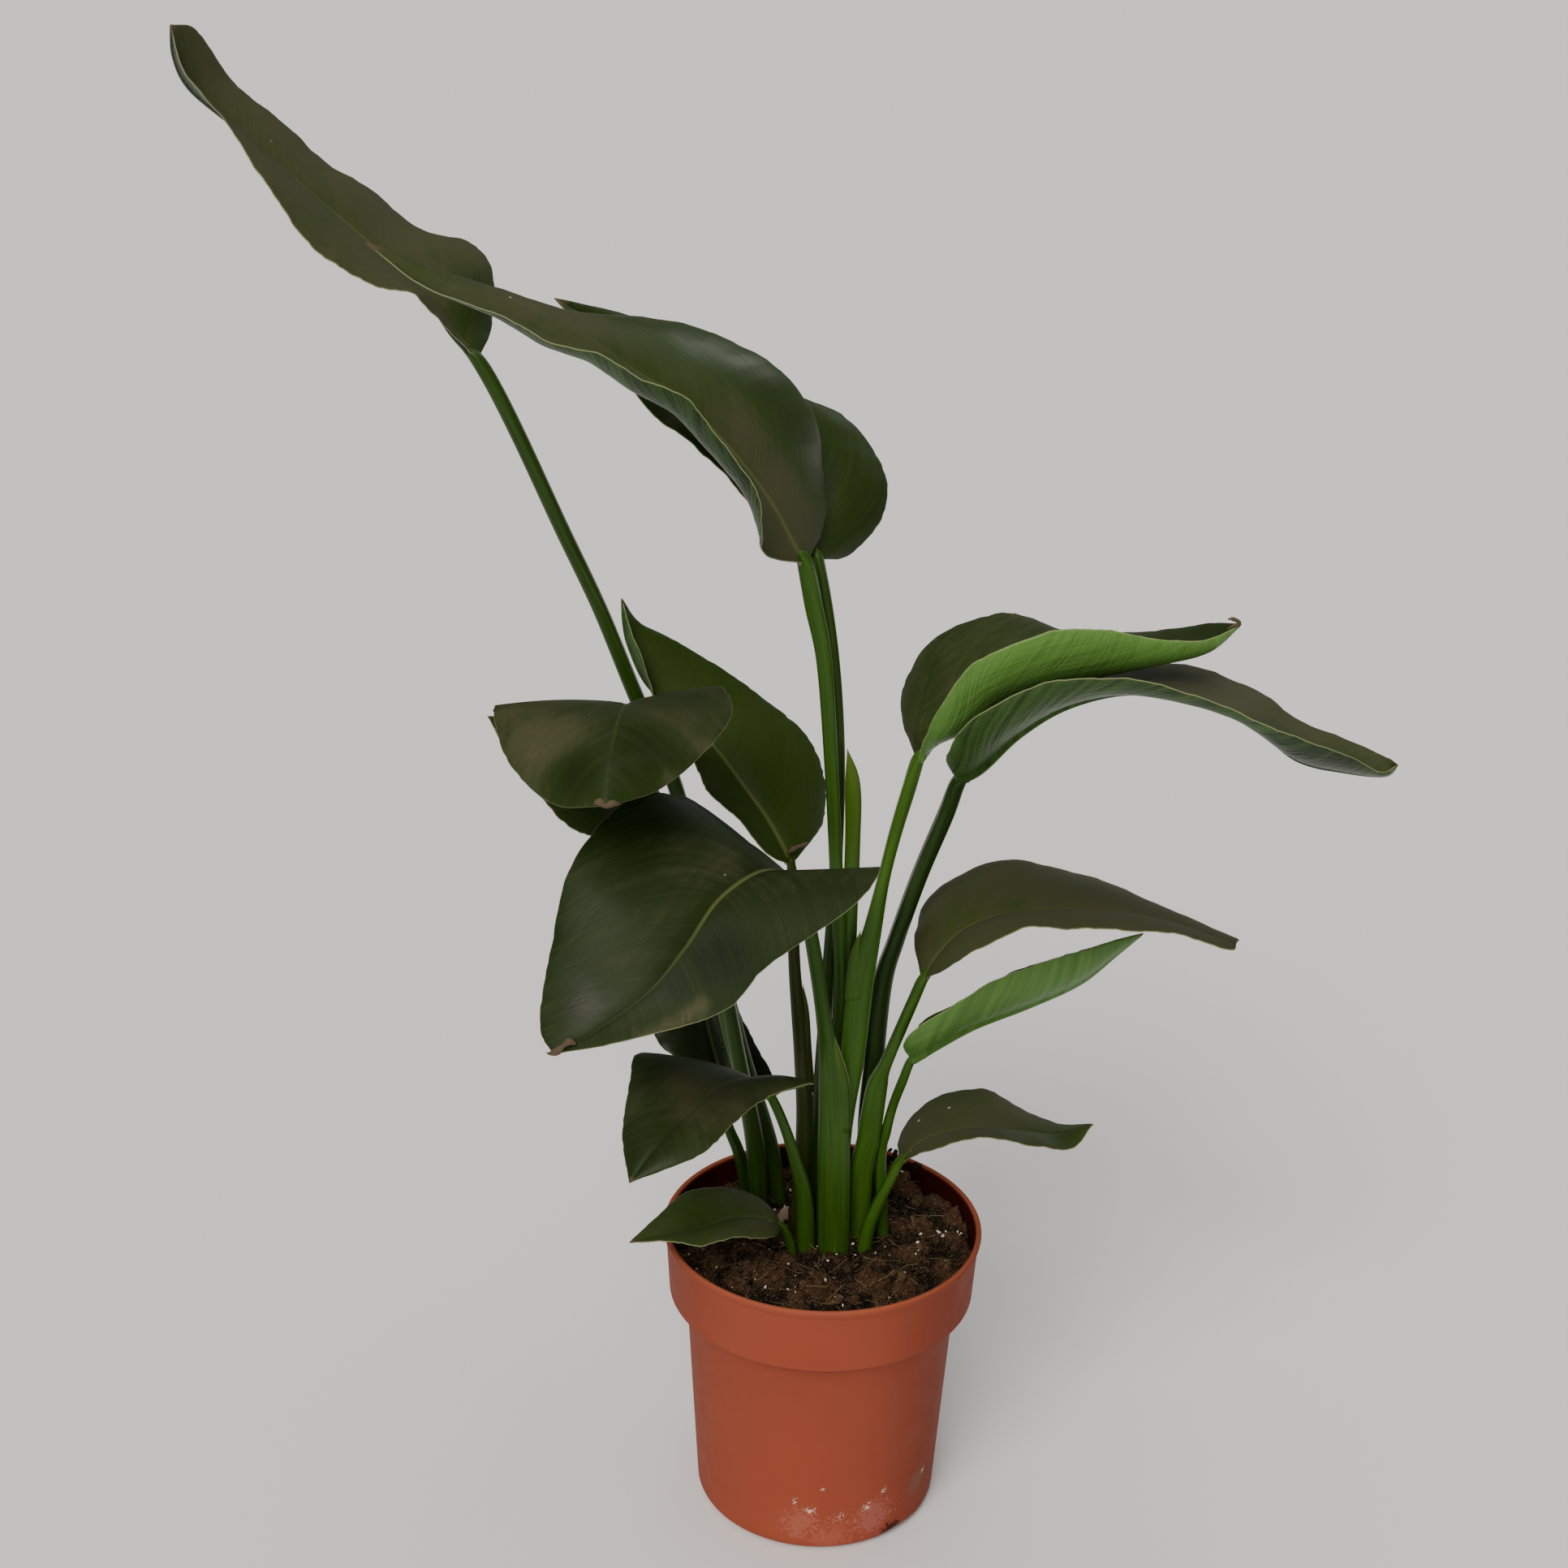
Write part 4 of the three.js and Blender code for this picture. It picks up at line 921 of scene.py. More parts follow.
# The smooth skin of a stalk: wax with a low sheen, broken only by the fibres under it
shader.inputs["Roughness"].default_value = 0.36
shader.inputs["IOR"].default_value = WAX_IOR
shader.inputs["Specular IOR Level"].default_value = WAX_SHINE
print("stalk finish:", smooth_leaf_stalk.name)

# %% [markdown]
# ## Growing the leaves
#
# Each leaf is toned by a few numbers: how dusty or brown and how dark its upper face, its underside
# and its stalk are, and how pale its midrib stands out. The darkness is partly the deeper green of
# age and partly painted shade, for faces that lie in the shade of other leaves. No two leaves have
# aged alike, so dust, scuffs and wiped places are laid on single leaves too, each as a soft mark
# around a point.

# %% Tones, marks and knots
# Upper face, underside and stalk: first how dusty, then how dark, from age and painted shade; last
# the paleness of the midrib
LEAF_TONES = {
    "tall_left": ((0.54, 0.2, 0.1), (0.2, 1.0, 0.62), 0.4),
    "arching_front": ((0.46, 0.4, 0.05), (0.1, 0.88, 0.35), 0.3),
    "arching_back": ((0.3, 0.3, 0.15), (0.4, 0.7, 0.5), 0.3),
    "upper_mid": ((0.26, 0.3, 0.5), (0.0, 0.7, 0.65), 0.6),
    "half_moon": ((0.4, 0.3, 0.1), (0.5, 0.6, 0.35), 0.2),
    "behind_half_moon": ((0.3, 0.3, 0.1), (0.4, 0.6, 0.5), 0.3),
    "big_front": ((0.32, 0.3, 0.05), (0.65, 0.6, 0.4), 0.65),
    "low_back_left": ((0.0, 0.0, 0.1), (1.0, 1.0, 0.7), 0.1),
    "low_front_left": ((0.4, 0.3, 0.05), (0.5, 0.6, 0.4), 0.2),
    "lowest_left": ((0.48, 0.3, 0.05), (0.0, 0.6, 0.4), 0.2),
    "folded_right": ((0.4, 0.1, 0.05), (0.45, 0.0, 0.1), 0.3),
    "arched_right": ((0.55, 0.25, 0.05), (0.2, 0.78, 0.8), 0.3),
    "mid_right": ((0.52, 0.3, 0.05), (0.0, 0.6, 0.25), 0.3),
    "spear_right": ((0.1, 0.1, 0.0), (0.0, 0.44, 0.3), 0.4),
    "low_right": ((0.52, 0.3, 0.05), (0.0, 0.6, 0.2), 0.3),
}
# Marks on the upper faces: x, y, z, how far each reaches, and how strong. Above 0 dust and brown
# scuffs lie there, below 0 the leaf has been wiped clean and shows a deeper green.
MARKS = {
    "half_moon": [
        (-159, -37, 463, 12, 0.3), (-146, -59, 462, 12, 0.4), (-130, -67, 467, 13, 0.42),
        (-142, -76, 456, 10, 0.4), (-120, -96, 456, 12, -0.9), (-87, -91, 463, 20, -0.6),
        (-61, -73, 462, 6, 0.7), (-79, -93, 454, 7, 0.7), (-71, -62, 471, 14, 0.2),
    ],
    "big_front": [
        (-58, -61, 403, 17, 0.25), (-78, -71, 407, 15, 0.2), (-115, -122, 355, 11, -0.8),
        (-52, -105, 372, 17, -0.9), (-76, -119, 362, 10, -0.7), (-127, -99, 379, 18, -0.3),
        (-61, -124, 358, 6, 0.65), (-67, -129, 354, 6, 0.6), (-76, -133, 350, 6, 0.6),
        (-86, -137, 346, 6, 0.5),
    ],
    "arching_front": [
        (-110, 14, 644, 16, -0.6), (-76, 19, 632, 20, -0.9), (-44, 33, 614, 22, -1),
        (-24, 32, 591, 18, -0.9), (-16, 35, 574, 16, -0.7), (-48, -1, 599, 16, 0.3),
        (-32, -2, 568, 16, 0.4), (-31, -10, 539, 16, 0.4), (-148, -36, 659, 14, 0.6),
        (-125, -20, 652, 14, 0.4),
    ],
    # On this small leaf the pale scuffs near its middle are dust and a painted highlight of its
    # gloss
    "low_front_left": [
        (-90, -100, 259, 18, -0.6), (-62, -60, 277, 20, 0.2), (-76, -65, 280, 7, 0.35),
        (-68, -76, 273, 7, 0.4), (-45, -72, 272, 5, 0.5),
    ],
    "lowest_left": [(-70, -29, 187, 14, -0.4)],
    "mid_right": [
        (128, -40, 370, 26, 0.4), (93, 5, 367, 22, 0.3), (165, -55, 369, 22, 0.4),
        (89, -32, 364, 12, -0.2),
    ],
    "arched_right": [(156, -54, 484, 18, 0.6), (178, -59, 479, 16, 0.5), (222, -60, 462, 26, -1)],
    "folded_right": [(174, -6, 498, 20, -0.8)],
    "arching_back": [(8, 55, 546, 22, -0.5), (-16, 37, 540, 12, 0.3)],
    "upper_mid": [(-34, 31, 405, 18, -0.5), (-65, 15, 411, 18, 0.4)],
    "tall_left": [(-177, 75, 627, 22, -1)],
    "low_right": [(118, -20, 231, 18, -0.5)],
}
# The dried ends of three leaves have rolled up into a small brown knot, and so has a torn corner at
# the base of a fourth
DRY_KNOTS = {
    "upper_mid": [
        [-24, 12, 373, 1, 1], [-21, 12, 375.5, 3, 2.6], [-18, 12.5, 377, 1.8, 1.8],
        [-14.5, 13, 378, 2.8, 2.2], [-12.5, 13, 379, 0.4, 0.4],
    ],
    "folded_right": [
        [184, -11, 505, 1, 1], [187, -10.5, 507, 2.4, 2], [190, -10, 508.6, 1.8, 1.8],
        [186.5, -10, 510.3, 2.2, 1.8], [184, -10, 510.3, 0.4, 0.4],
    ],
    "big_front": [
        [-118, -135, 340, 1, 1], [-121, -135, 341.5, 3.6, 3.2], [-124, -134.5, 339, 2.4, 2.4],
        [-127, -134.5, 336, 4, 3.4], [-130, -134, 334.5, 2, 2], [-132, -133.5, 334.5, 0.4, 0.4],
    ],
    "half_moon": [
        [-111, -111, 449, 1, 1], [-108.5, -112, 450.5, 3.8, 3.2], [-105.5, -112.5, 449, 2.6, 2.6],
        [-102.5, -112, 450, 3.6, 3], [-99, -110.5, 449, 0.5, 0.5],
    ],
}
print(len(MARKS), "leaves with marks,", len(DRY_KNOTS), "with a dry knot")

# %% [markdown]
# The stalk's sweep runs on past the base of the blade and ends under the start of the midrib, so
# that the stalk flows into the keel as it does on the plant. All the shells of a leaf go into one
# mesh, because the leaf is one piece.

# %% Grow the leaves
JOIN_SIZES = (0.9, 0.45)
JOIN_DEPTH = 1.2
PHASE_STEP = 1.7
COLUMNS = 2 * (EVEN_COLUMNS + 5) - 1
BLADE_FACES = [UNDERSIDE] * (COLUMNS - 1) + [UPPER_FACE] * (COLUMNS + 1)


def laid_marks(rows, marks):
    """How strongly the marks of a leaf show at each point of its blade, from -1 to 1."""
    total = np.zeros(rows.shape[:2])
    for x, y, z, reach, strength in marks:
        away = np.linalg.norm(rows - np.array([x, y, z]), axis=-1)
        total += strength * np.exp(-((away / reach) ** 2))
    return np.clip(total, -1, 1)


def grow_leaf(name, leaf, phase):
    """One whole leaf: blade, stalk and, where it has them, sheath and dry knot."""
    rows, measures, shares = blade_rows(leaf, phase)
    measures["mark"] = laid_marks(rows, MARKS.get(name, []))
    body = LeafBody()
    body.add_shell(*blade_rings(rows, measures, shares), BLADE_FACES, COLUMNS + COLUMNS // 2)
    under_rib = ROWS_PER_STATION // 2
    start = upper_normals(rows)[under_rib, COLUMNS // 2]
    root = rows[under_rib, COLUMNS // 2] - start * JOIN_DEPTH
    last_size = np.array(leaf["stalk"][-1][3:])
    joints = zip((leaf["base"], root), JOIN_SIZES)
    ends = [[*place, *(last_size * share)] for place, share in joints]
    facing = [*leaf["inward"], 0]
    sweep = [*leaf["stalk"], *ends]
    blend_from = (len(leaf["stalk"]) - 1) / (len(sweep) - 1)
    stalk = stalk_rings(sweep, facing, start, blend_from, phase, False)
    body.add_shell(*stalk, [STALK] * STALK_SIDES, 0)
    if "sheath" in leaf:
        sheath = stalk_rings(leaf["sheath"], facing, facing, 1, phase, True)
        body.add_shell(*sheath, [STALK] * STALK_SIDES, 0)
    if name in DRY_KNOTS:
        knot, knot_measures = stalk_rings(DRY_KNOTS[name], facing, facing, 1, phase, False)
        knot_measures["tip"] += 1
        body.add_shell(knot, knot_measures, [UPPER_FACE] * STALK_SIDES, 0)
    dust, dark_and_shaded, paleness = LEAF_TONES[name]
    finishes = [waxy_leaf_top, fresh_leaf_underside, smooth_leaf_stalk]
    tones = {"dust": dust, "dark_and_shaded": dark_and_shaded, "paleness": (paleness, paleness, 0)}
    piece = body.to_object(f"grown_{name}", finishes, tones)
    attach(piece, "root")
    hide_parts(f"leaf_{name}")
    return piece


for order, (leaf_name, leaf) in enumerate(LEAVES.items()):
    grown = grow_leaf(leaf_name, leaf, order * PHASE_STEP)
    print(grown.name, len(grown.data.polygons), "faces")

# %% [markdown]
# ## Pot
#
# The pot is an injection-moulded nursery pot of terracotta-coloured polypropylene: one thin wall
# with a rolled lip, a collar that steps out from the body, a raised floor inside a foot ring, drain
# holes and two low notches for water to run out. Its wall is a profile turned about the upright
# axis, so the profile is written once and turned in many small steps, which keeps the rim round in
# a close view.

# %% Pot profile
RIM_RADIUS, POT_HEIGHT, LIP_ROLL = 85, 164, 1.6
COLLAR_HEIGHT, COLLAR_TOP_RADIUS, COLLAR_FOOT_RADIUS, COLLAR_EDGE = 38, 83.6, 81.6, 1
SHOULDER_RADIUS, BASE_RADIUS, BASE_ROUNDING = 72.6, 65.3, 6
WALL, FLOOR, FOOT_DEPTH = 1.6, 2, 4.5
COLLAR_FOOT = POT_HEIGHT - COLLAR_HEIGHT
FLOOR_TOP = FOOT_DEPTH + FLOOR
INSIDE_RIM = RIM_RADIUS - 2 * LIP_ROLL
POT_SIDES = 192


def inner_radius(z):
    """The inner face of the pot's wall at a height, below and above the step of the collar."""
    if z < COLLAR_FOOT:
        return BASE_RADIUS + (SHOULDER_RADIUS - BASE_RADIUS) * z / COLLAR_FOOT - WALL
    low = COLLAR_FOOT_RADIUS - WALL
    return low + (INSIDE_RIM - low) * (z - COLLAR_FOOT) / COLLAR_HEIGHT


def arc(radius_at, z_at, radius, start, end, steps):
    """Points of part of a circle in the profile, in radius and height."""
    angles = np.radians(np.linspace(start, end, steps + 1))
    return [(radius_at + radius * math.cos(a), z_at + radius * math.sin(a)) for a in angles]


foot_radius = BASE_RADIUS - BASE_ROUNDING
lip_foot = POT_HEIGHT - 3 * LIP_ROLL
inside = [lip_foot, COLLAR_FOOT + WALL, COLLAR_FOOT - WALL, FLOOR_TOP + FLOOR]
pot_profile = [
    (0, FOOT_DEPTH), (foot_radius - WALL, FOOT_DEPTH), (foot_radius - WALL, 0),
    *arc(foot_radius, BASE_ROUNDING, BASE_ROUNDING, -90, 0, 10),
    (SHOULDER_RADIUS - 0.06, COLLAR_FOOT - 1), (SHOULDER_RADIUS + 0.5, COLLAR_FOOT - 0.15),
    (SHOULDER_RADIUS + 1.2, COLLAR_FOOT),
    *arc(COLLAR_FOOT_RADIUS - COLLAR_EDGE, COLLAR_FOOT + COLLAR_EDGE, COLLAR_EDGE, -90, 0, 5),
    (COLLAR_TOP_RADIUS - 0.1, lip_foot - 0.6), (COLLAR_TOP_RADIUS + 0.3, lip_foot + 0.4),
    (RIM_RADIUS - 0.35, lip_foot + 1.2),
    *arc(RIM_RADIUS - LIP_ROLL, POT_HEIGHT - LIP_ROLL, LIP_ROLL, 0, 180, 10),
    *((inner_radius(z), z) for z in inside),
    (inner_radius(FLOOR_TOP) - FLOOR, FLOOR_TOP), (0, FLOOR_TOP),
]
print("pot profile:", len(pot_profile), "points")

# %% [markdown]
# The pot and the soil in it are both turned, so one function does both. A height in the profile may
# also be a function of x and y, which is what makes the top of the soil uneven.

# %% Turn a profile
def ring_points(radius, sides, height):
    """A ring of points about the upright axis, in metres."""
    turns = [k / sides * 2 * math.pi for k in range(sides)]
    corners = [(radius * math.cos(a), radius * math.sin(a)) for a in turns]
    level = height if callable(height) else lambda x, y: height
    return [(x * MM, y * MM, level(x, y) * MM) for x, y in corners]


def turned(name, profile, sides):
    """A closed mesh turned from a profile that starts and ends on the axis."""
    points = ring_points(0, 1, profile[0][1])
    for radius, height in profile[1:-1]:
        points += ring_points(radius, sides, height)
    points += ring_points(0, 1, profile[-1][1])
    faces, rings, top = [], len(profile) - 2, len(points) - 1
    for k in range(sides):
        after = (k + 1) % sides
        faces.append((0, 1 + after, 1 + k))
        for i in range(rings - 1):
            low, high = 1 + i * sides, 1 + (i + 1) * sides
            faces.append((low + k, low + after, high + after, high + k))
        faces.append((top - sides + k, top - sides + after, top))
    return new_mesh(name, points, faces)


pot_mesh = turned("pot_wall", pot_profile, POT_SIDES)
print("pot wall:", len(pot_mesh.polygons), "faces")

# %% [markdown]
# The holes of the pot, and later the crumbs and fibres on the soil, are one shape set down many
# times, which is a job for Geometry Nodes. The inputs of such a tree have names, so that it can be
# run again with other sizes, and its result is kept as a plain mesh that needs no modifier.

# %% Geometry trees
def new_geometry_tree(name, inputs):
    """A Geometry Nodes tree with named inputs, its ends, and the inputs' identifiers."""
    tree = bpy.data.node_groups.new(name, "GeometryNodeTree")
    tree.interface.new_socket("Geometry", in_out="INPUT", socket_type="NodeSocketGeometry")
    identifiers = {}
    for label, kind in inputs.items():
        socket = tree.interface.new_socket(
            label, in_out="INPUT", socket_type=f"NodeSocket{kind}",
        )
        identifiers[label] = socket.identifier
    tree.interface.new_socket("Geometry", in_out="OUTPUT", socket_type="NodeSocketGeometry")
    given = tree.nodes.new("NodeGroupInput").outputs
    return tree, given, tree.nodes.new("NodeGroupOutput"), identifiers


def run_geometry_tree(name, mesh, tree, identifiers, settings):
    """Runs a tree on a mesh and returns the result as a plain object without a modifier."""
    source = put_in_scene(f"{name}_source", mesh)
    modifier = source.modifiers.new(name, "NODES")
    modifier.node_group = tree
    for label, value in settings.items():
        modifier[identifiers[label]] = value
    evaluated = source.evaluated_get(bpy.context.evaluated_depsgraph_get())
    result = bpy.data.meshes.new_from_object(evaluated)
    source.modifiers.clear()
    bpy.data.objects.remove(source)
    return put_in_scene(name, result)

# %% [markdown]
# Six round holes drain the floor, and two notches under the foot let the water out. One round punch
# is set on each point of a ring, one wide flat punch is laid across the foot at each notch, and all
# of them are cut out of the wall at once.

# %% Holes and notches
FIRST_HOLE_TURN = math.radians(30)
PUNCH_SIDES, NOTCH_SIDES = 32, 48

tree, given, made, drain_inputs = new_geometry_tree("drain_holes", {
    "Holes": "Int", "Hole Radius": "Float", "Ring Radius": "Float", "Foot Radius": "Float",
    "Notch Width": "Float", "Notch Height": "Float", "Notch Depth": "Float", "Finish": "Material",
})
ring = add_node(tree, "GeometryNodeMeshCircle", {
    "Vertices": given["Holes"], "Radius": given["Ring Radius"],
})
hole_places = add_node(tree, "GeometryNodeTransform", {
    "Geometry": ring.outputs[0], "Rotation": (0, 0, FIRST_HOLE_TURN),
    "Translation": (0, 0, (FLOOR_TOP - FLOOR / 2) * MM),
})
punch = add_node(tree, "GeometryNodeMeshCylinder", {
    "Vertices": PUNCH_SIDES, "Radius": given["Hole Radius"], "Depth": 3 * FLOOR * MM,
})
punches = add_node(tree, "GeometryNodeInstanceOnPoints", {
    "Points": hole_places.outputs[0], "Instance": punch.outputs["Mesh"],
})
wide_punch = add_node(tree, "GeometryNodeMeshCylinder", {
    "Vertices": NOTCH_SIDES, "Radius": 0.5, "Depth": given["Notch Depth"],
})
notch_size = add_node(tree, "ShaderNodeCombineXYZ", {
    "X": given["Notch Height"], "Y": given["Notch Width"], "Z": 1,
})
flat_punch = add_node(tree, "GeometryNodeTransform", {
    "Geometry": wide_punch.outputs["Mesh"], "Scale": notch_size.outputs[0],
})
laid_punch = add_node(tree, "GeometryNodeTransform", {
    "Geometry": flat_punch.outputs[0], "Rotation": (0, math.radians(90), 0),
})
# The notches sit on every other point of a square, which is turned to put one in front on the right
square = add_node(tree, "GeometryNodeMeshCircle", {
    "Vertices": 4, "Radius": given["Foot Radius"],
})
notch_places = add_node(tree, "GeometryNodeTransform", {
    "Geometry": square.outputs[0], "Rotation": (0, 0, math.radians(-45)),
})
order = add_node(tree, "GeometryNodeInputIndex")
odd = add_node(tree, "ShaderNodeMath", {0: order.outputs[0], 1: 2}, operation="MODULO")
every_other = add_node(tree, "ShaderNodeMath", {
    0: 1, 1: odd.outputs[0],
}, operation="SUBTRACT")
where = add_node(tree, "GeometryNodeInputPosition")
outward = add_node(tree, "FunctionNodeAlignRotationToVector", {
    "Vector": where.outputs[0],
}, axis="X")
notches = add_node(tree, "GeometryNodeInstanceOnPoints", {
    "Points": notch_places.outputs[0], "Selection": every_other.outputs[0],
    "Instance": laid_punch.outputs[0], "Rotation": outward.outputs[0],
})
cutters = add_node(tree, "GeometryNodeJoinGeometry")
for cutter in (punches, notches):
    tree.links.new(cutter.outputs[0], cutters.inputs[0])
solid_cutters = add_node(tree, "GeometryNodeRealizeInstances", {"Geometry": cutters.outputs[0]})
cut = add_node(tree, "GeometryNodeMeshBoolean", {
    "Mesh 1": given["Geometry"], "Mesh 2": solid_cutters.outputs[0],
}, operation="DIFFERENCE", solver="EXACT")
finished = add_node(tree, "GeometryNodeSetMaterial", {
    "Geometry": cut.outputs["Mesh"], "Material": given["Finish"],
})
tree.links.new(finished.outputs[0], made.inputs[0])
drain_tree = tree
print("drain tree:", len(tree.nodes), "nodes")

# %% [markdown]
# Polypropylene coloured right through has a warm orange-brown that is never perfectly even: the
# sides of the mould leave a faint cloudiness, soil splashes dull it, and hard water leaves a white
# crust low on the front, where the pot stood in a saucer. Light and shade are painted in as well:
# painted shade darkens both sides, the inner wall, a band under the collar and the notch at the
# foot, and a painted highlight pales the top of the lip. Everything is drawn from object
# coordinates, so each mark stays where it is on the pot. A mark is a soft ball around a place,
# broken up by noise.

# %% Pot finish
CLOUDINESS_PER_METRE, GRIME_PER_METRE = 18, 60
PLASTIC_GRAIN_PER_METRE = 900  # coarser than the real grain of half a millimetre, so that it shows
PLASTIC_IOR = 1.49
# Marks: the middle of each in millimetres, its reach, how fine its noise is, the level of noise
# above which it shows, its colour and its strength. A film is broad and pinkish, a crust white; the
# last, dark mark is painted shade in the notch at the foot.
MARKS_ON_POT = [
    ((-9, -66, 18), 34, 500, 0.36, "#ad6a5a", 0.5), ((30, -59, 18), 38, 500, 0.36, "#a5655c", 0.6),
    ((54, -39, 27), 26, 900, 0.4, "#77574a", 0.75), ((8, -66, 8), 44, 500, 0.38, "#ad6552", 0.45),
    ((-12, -66, 33), 13, 1000, 0.54, "#efe0d0", 1), ((-3, -67, 27), 18, 1000, 0.54, "#efe0d0", 1),
    ((27, -61, 27), 17, 1000, 0.54, "#efe0d0", 1), ((36, -57, 34), 14, 1000, 0.54, "#efe0d0", 1),
    ((58, -34, 30), 15, 1000, 0.55, "#d8c8ba", 1), ((3, -67, 42), 6, 1000, 0.54, "#efe0d0", 1),
    ((12, -65, 22), 30, 1000, 0.58, "#e0c8b8", 0.8), ((41, -52, 3), 18, 500, 0.3, "#2e130d", 0.9),
]

moulded_polypropylene, tree, shader = new_finish("moulded_polypropylene")
place = add_node(tree, "ShaderNodeTexCoord").outputs["Object"]
parts = add_node(tree, "ShaderNodeSeparateXYZ", {0: place})
clouds = add_node(tree, "ShaderNodeTexNoise", {
    "Vector": place, "Scale": CLOUDINESS_PER_METRE, "Detail": 6, "Roughness": 0.62,
})
clouded = add_node(tree, "ShaderNodeMix", {
    FACTOR: clouds.outputs["Fac"], FIRST: paint("#9b4e38"), SECOND: paint("#8f4534"),
}, data_type="RGBA")
grime_noise = add_node(tree, "ShaderNodeTexNoise", {
    "Vector": place, "Scale": GRIME_PER_METRE, "Detail": 6, "Roughness": 0.7,
})
# Both sides are painted a darker, purpler brown: painted shade where the wall turns from the light
off_middle = add_node(tree, "ShaderNodeMath", {
    0: parts.outputs["X"], 1: 0.012,
}, operation="ADD")
to_side = add_node(tree, "ShaderNodeMath", {0: off_middle.outputs[0]}, operation="ABSOLUTE")
painted_side_shade = add_node(tree, "ShaderNodeMapRange", {
    "Value": to_side.outputs[0], "From Min": 0.03, "From Max": 0.085, "To Max": 0.6,
}, interpolation_type="SMOOTHSTEP")
side_shaded = add_node(tree, "ShaderNodeMix", {
    FACTOR: painted_side_shade.outputs[0], FIRST: clouded.outputs[MIXED], SECOND: paint("#6f2f22"),
}, data_type="RGBA")
# The inside of the collar above the soil is painted dark: painted shade inside the rim
level = add_node(tree, "ShaderNodeVectorMath", {0: place, 1: (1, 1, 0)}, operation="MULTIPLY")
radius = add_node(tree, "ShaderNodeVectorMath", {0: level.outputs[0]}, operation="LENGTH")
inner_face = add_node(tree, "ShaderNodeMapRange", {
    "Value": radius.outputs["Value"], "From Min": (INSIDE_RIM - 0.1) * MM,
    "From Max": (INSIDE_RIM + 0.5) * MM, "To Min": 1, "To Max": 0,
})
above_step = add_node(tree, "ShaderNodeMath", {
    0: parts.outputs["Z"], 1: 0.14,
}, operation="GREATER_THAN")
inner_wall = add_node(tree, "ShaderNodeMath", {
    0: inner_face.outputs[0], 1: above_step.outputs[0],
}, operation="MULTIPLY")
soiled_and_shaded = add_node(tree, "ShaderNodeMix", {
    FACTOR: inner_wall.outputs[0], FIRST: side_shaded.outputs[MIXED], SECOND: paint("#3a130c"),
}, data_type="RGBA")
# A painted shadow darkens a band just under the collar, where its overhang shades the wall
from_corner = add_node(tree, "ShaderNodeMath", {
    0: parts.outputs["Z"], 1: -(COLLAR_FOOT - 3) * MM,
}, operation="ADD")
off_corner = add_node(tree, "ShaderNodeMath", {0: from_corner.outputs[0]}, operation="ABSOLUTE")
under_collar_shade = add_node(tree, "ShaderNodeMapRange", {
    "Value": off_corner.outputs[0], "From Max": 4.5 * MM, "To Min": 1, "To Max": 0,
}, interpolation_type="SMOOTHSTEP")
collar_shaded = add_node(tree, "ShaderNodeMix", {
    FACTOR: under_collar_shade.outputs[0], FIRST: soiled_and_shaded.outputs[MIXED], SECOND: paint("#3a150f"),
}, data_type="RGBA")
# A painted highlight makes the top of the lip paler, where it catches the light
painted_lip_highlight = add_node(tree, "ShaderNodeMapRange", {
    "Value": parts.outputs["Z"], "From Min": (POT_HEIGHT - 1.3) * MM,
    "From Max": (POT_HEIGHT - 0.3) * MM, "To Max": 0.3,
})
lip_highlighted = add_node(tree, "ShaderNodeMix", {
    FACTOR: painted_lip_highlight.outputs[0], FIRST: collar_shaded.outputs[MIXED], SECOND: paint("#bb7052"),
}, data_type="RGBA")
marked = lip_highlighted.outputs[MIXED]
for middle, reach, fineness, threshold, colour, strength in MARKS_ON_POT:
    crust = add_node(tree, "ShaderNodeTexNoise", {
        "Vector": place, "Scale": fineness, "Detail": 6, "Roughness": 0.65,
        "Distortion": 0.5,
    })
    away = add_node(tree, "ShaderNodeVectorMath", {
        0: place, 1: [v * MM for v in middle],
    }, operation="DISTANCE")
    near = add_node(tree, "ShaderNodeMapRange", {
        "Value": away.outputs["Value"], "From Max": reach * MM, "To Min": 0.08, "To Max": -0.6,
    })
    thick = add_node(tree, "ShaderNodeMath", {
        0: crust.outputs["Fac"], 1: near.outputs[0],
    }, operation="ADD")
    shown = add_node(tree, "ShaderNodeMapRange", {
        "Value": thick.outputs[0], "From Min": threshold,
        "From Max": threshold + 60 / fineness, "To Max": strength,
    }, interpolation_type="SMOOTHSTEP")
    marked = add_node(tree, "ShaderNodeMix", {
        FACTOR: shown.outputs[0], FIRST: marked, SECOND: paint(colour),
    }, data_type="RGBA").outputs[MIXED]
tree.links.new(marked, shader.inputs["Base Color"])
# A satin plastic, dull where grime has dried on it
satin = add_node(tree, "ShaderNodeMapRange", {
    "Value": grime_noise.outputs["Fac"], "From Min": 0.35, "From Max": 0.65,
    "To Min": 0.55, "To Max": 0.68,
})
tree.links.new(satin.outputs[0], shader.inputs["Roughness"])
grain = add_node(tree, "ShaderNodeTexNoise", {
    "Vector": place, "Scale": PLASTIC_GRAIN_PER_METRE, "Detail": 2,
})
bump = add_node(tree, "ShaderNodeBump", {
    "Strength": 0.25, "Distance": 0.1 * MM, "Height": grain.outputs["Fac"],
})
tree.links.new(bump.outputs[0], shader.inputs["Normal"])
shader.inputs["IOR"].default_value = PLASTIC_IOR
shader.inputs["Specular IOR Level"].default_value = 0.07
print("pot finish:", moulded_polypropylene.name)

# %% [markdown]
# The wall is cut once its finish is ready, since the tree puts the finish on. It is shaded smooth
# but for the edges where faces meet steeply, such as the step under the collar.

# %% Cut the pot
SHARP_EDGE = math.radians(35)

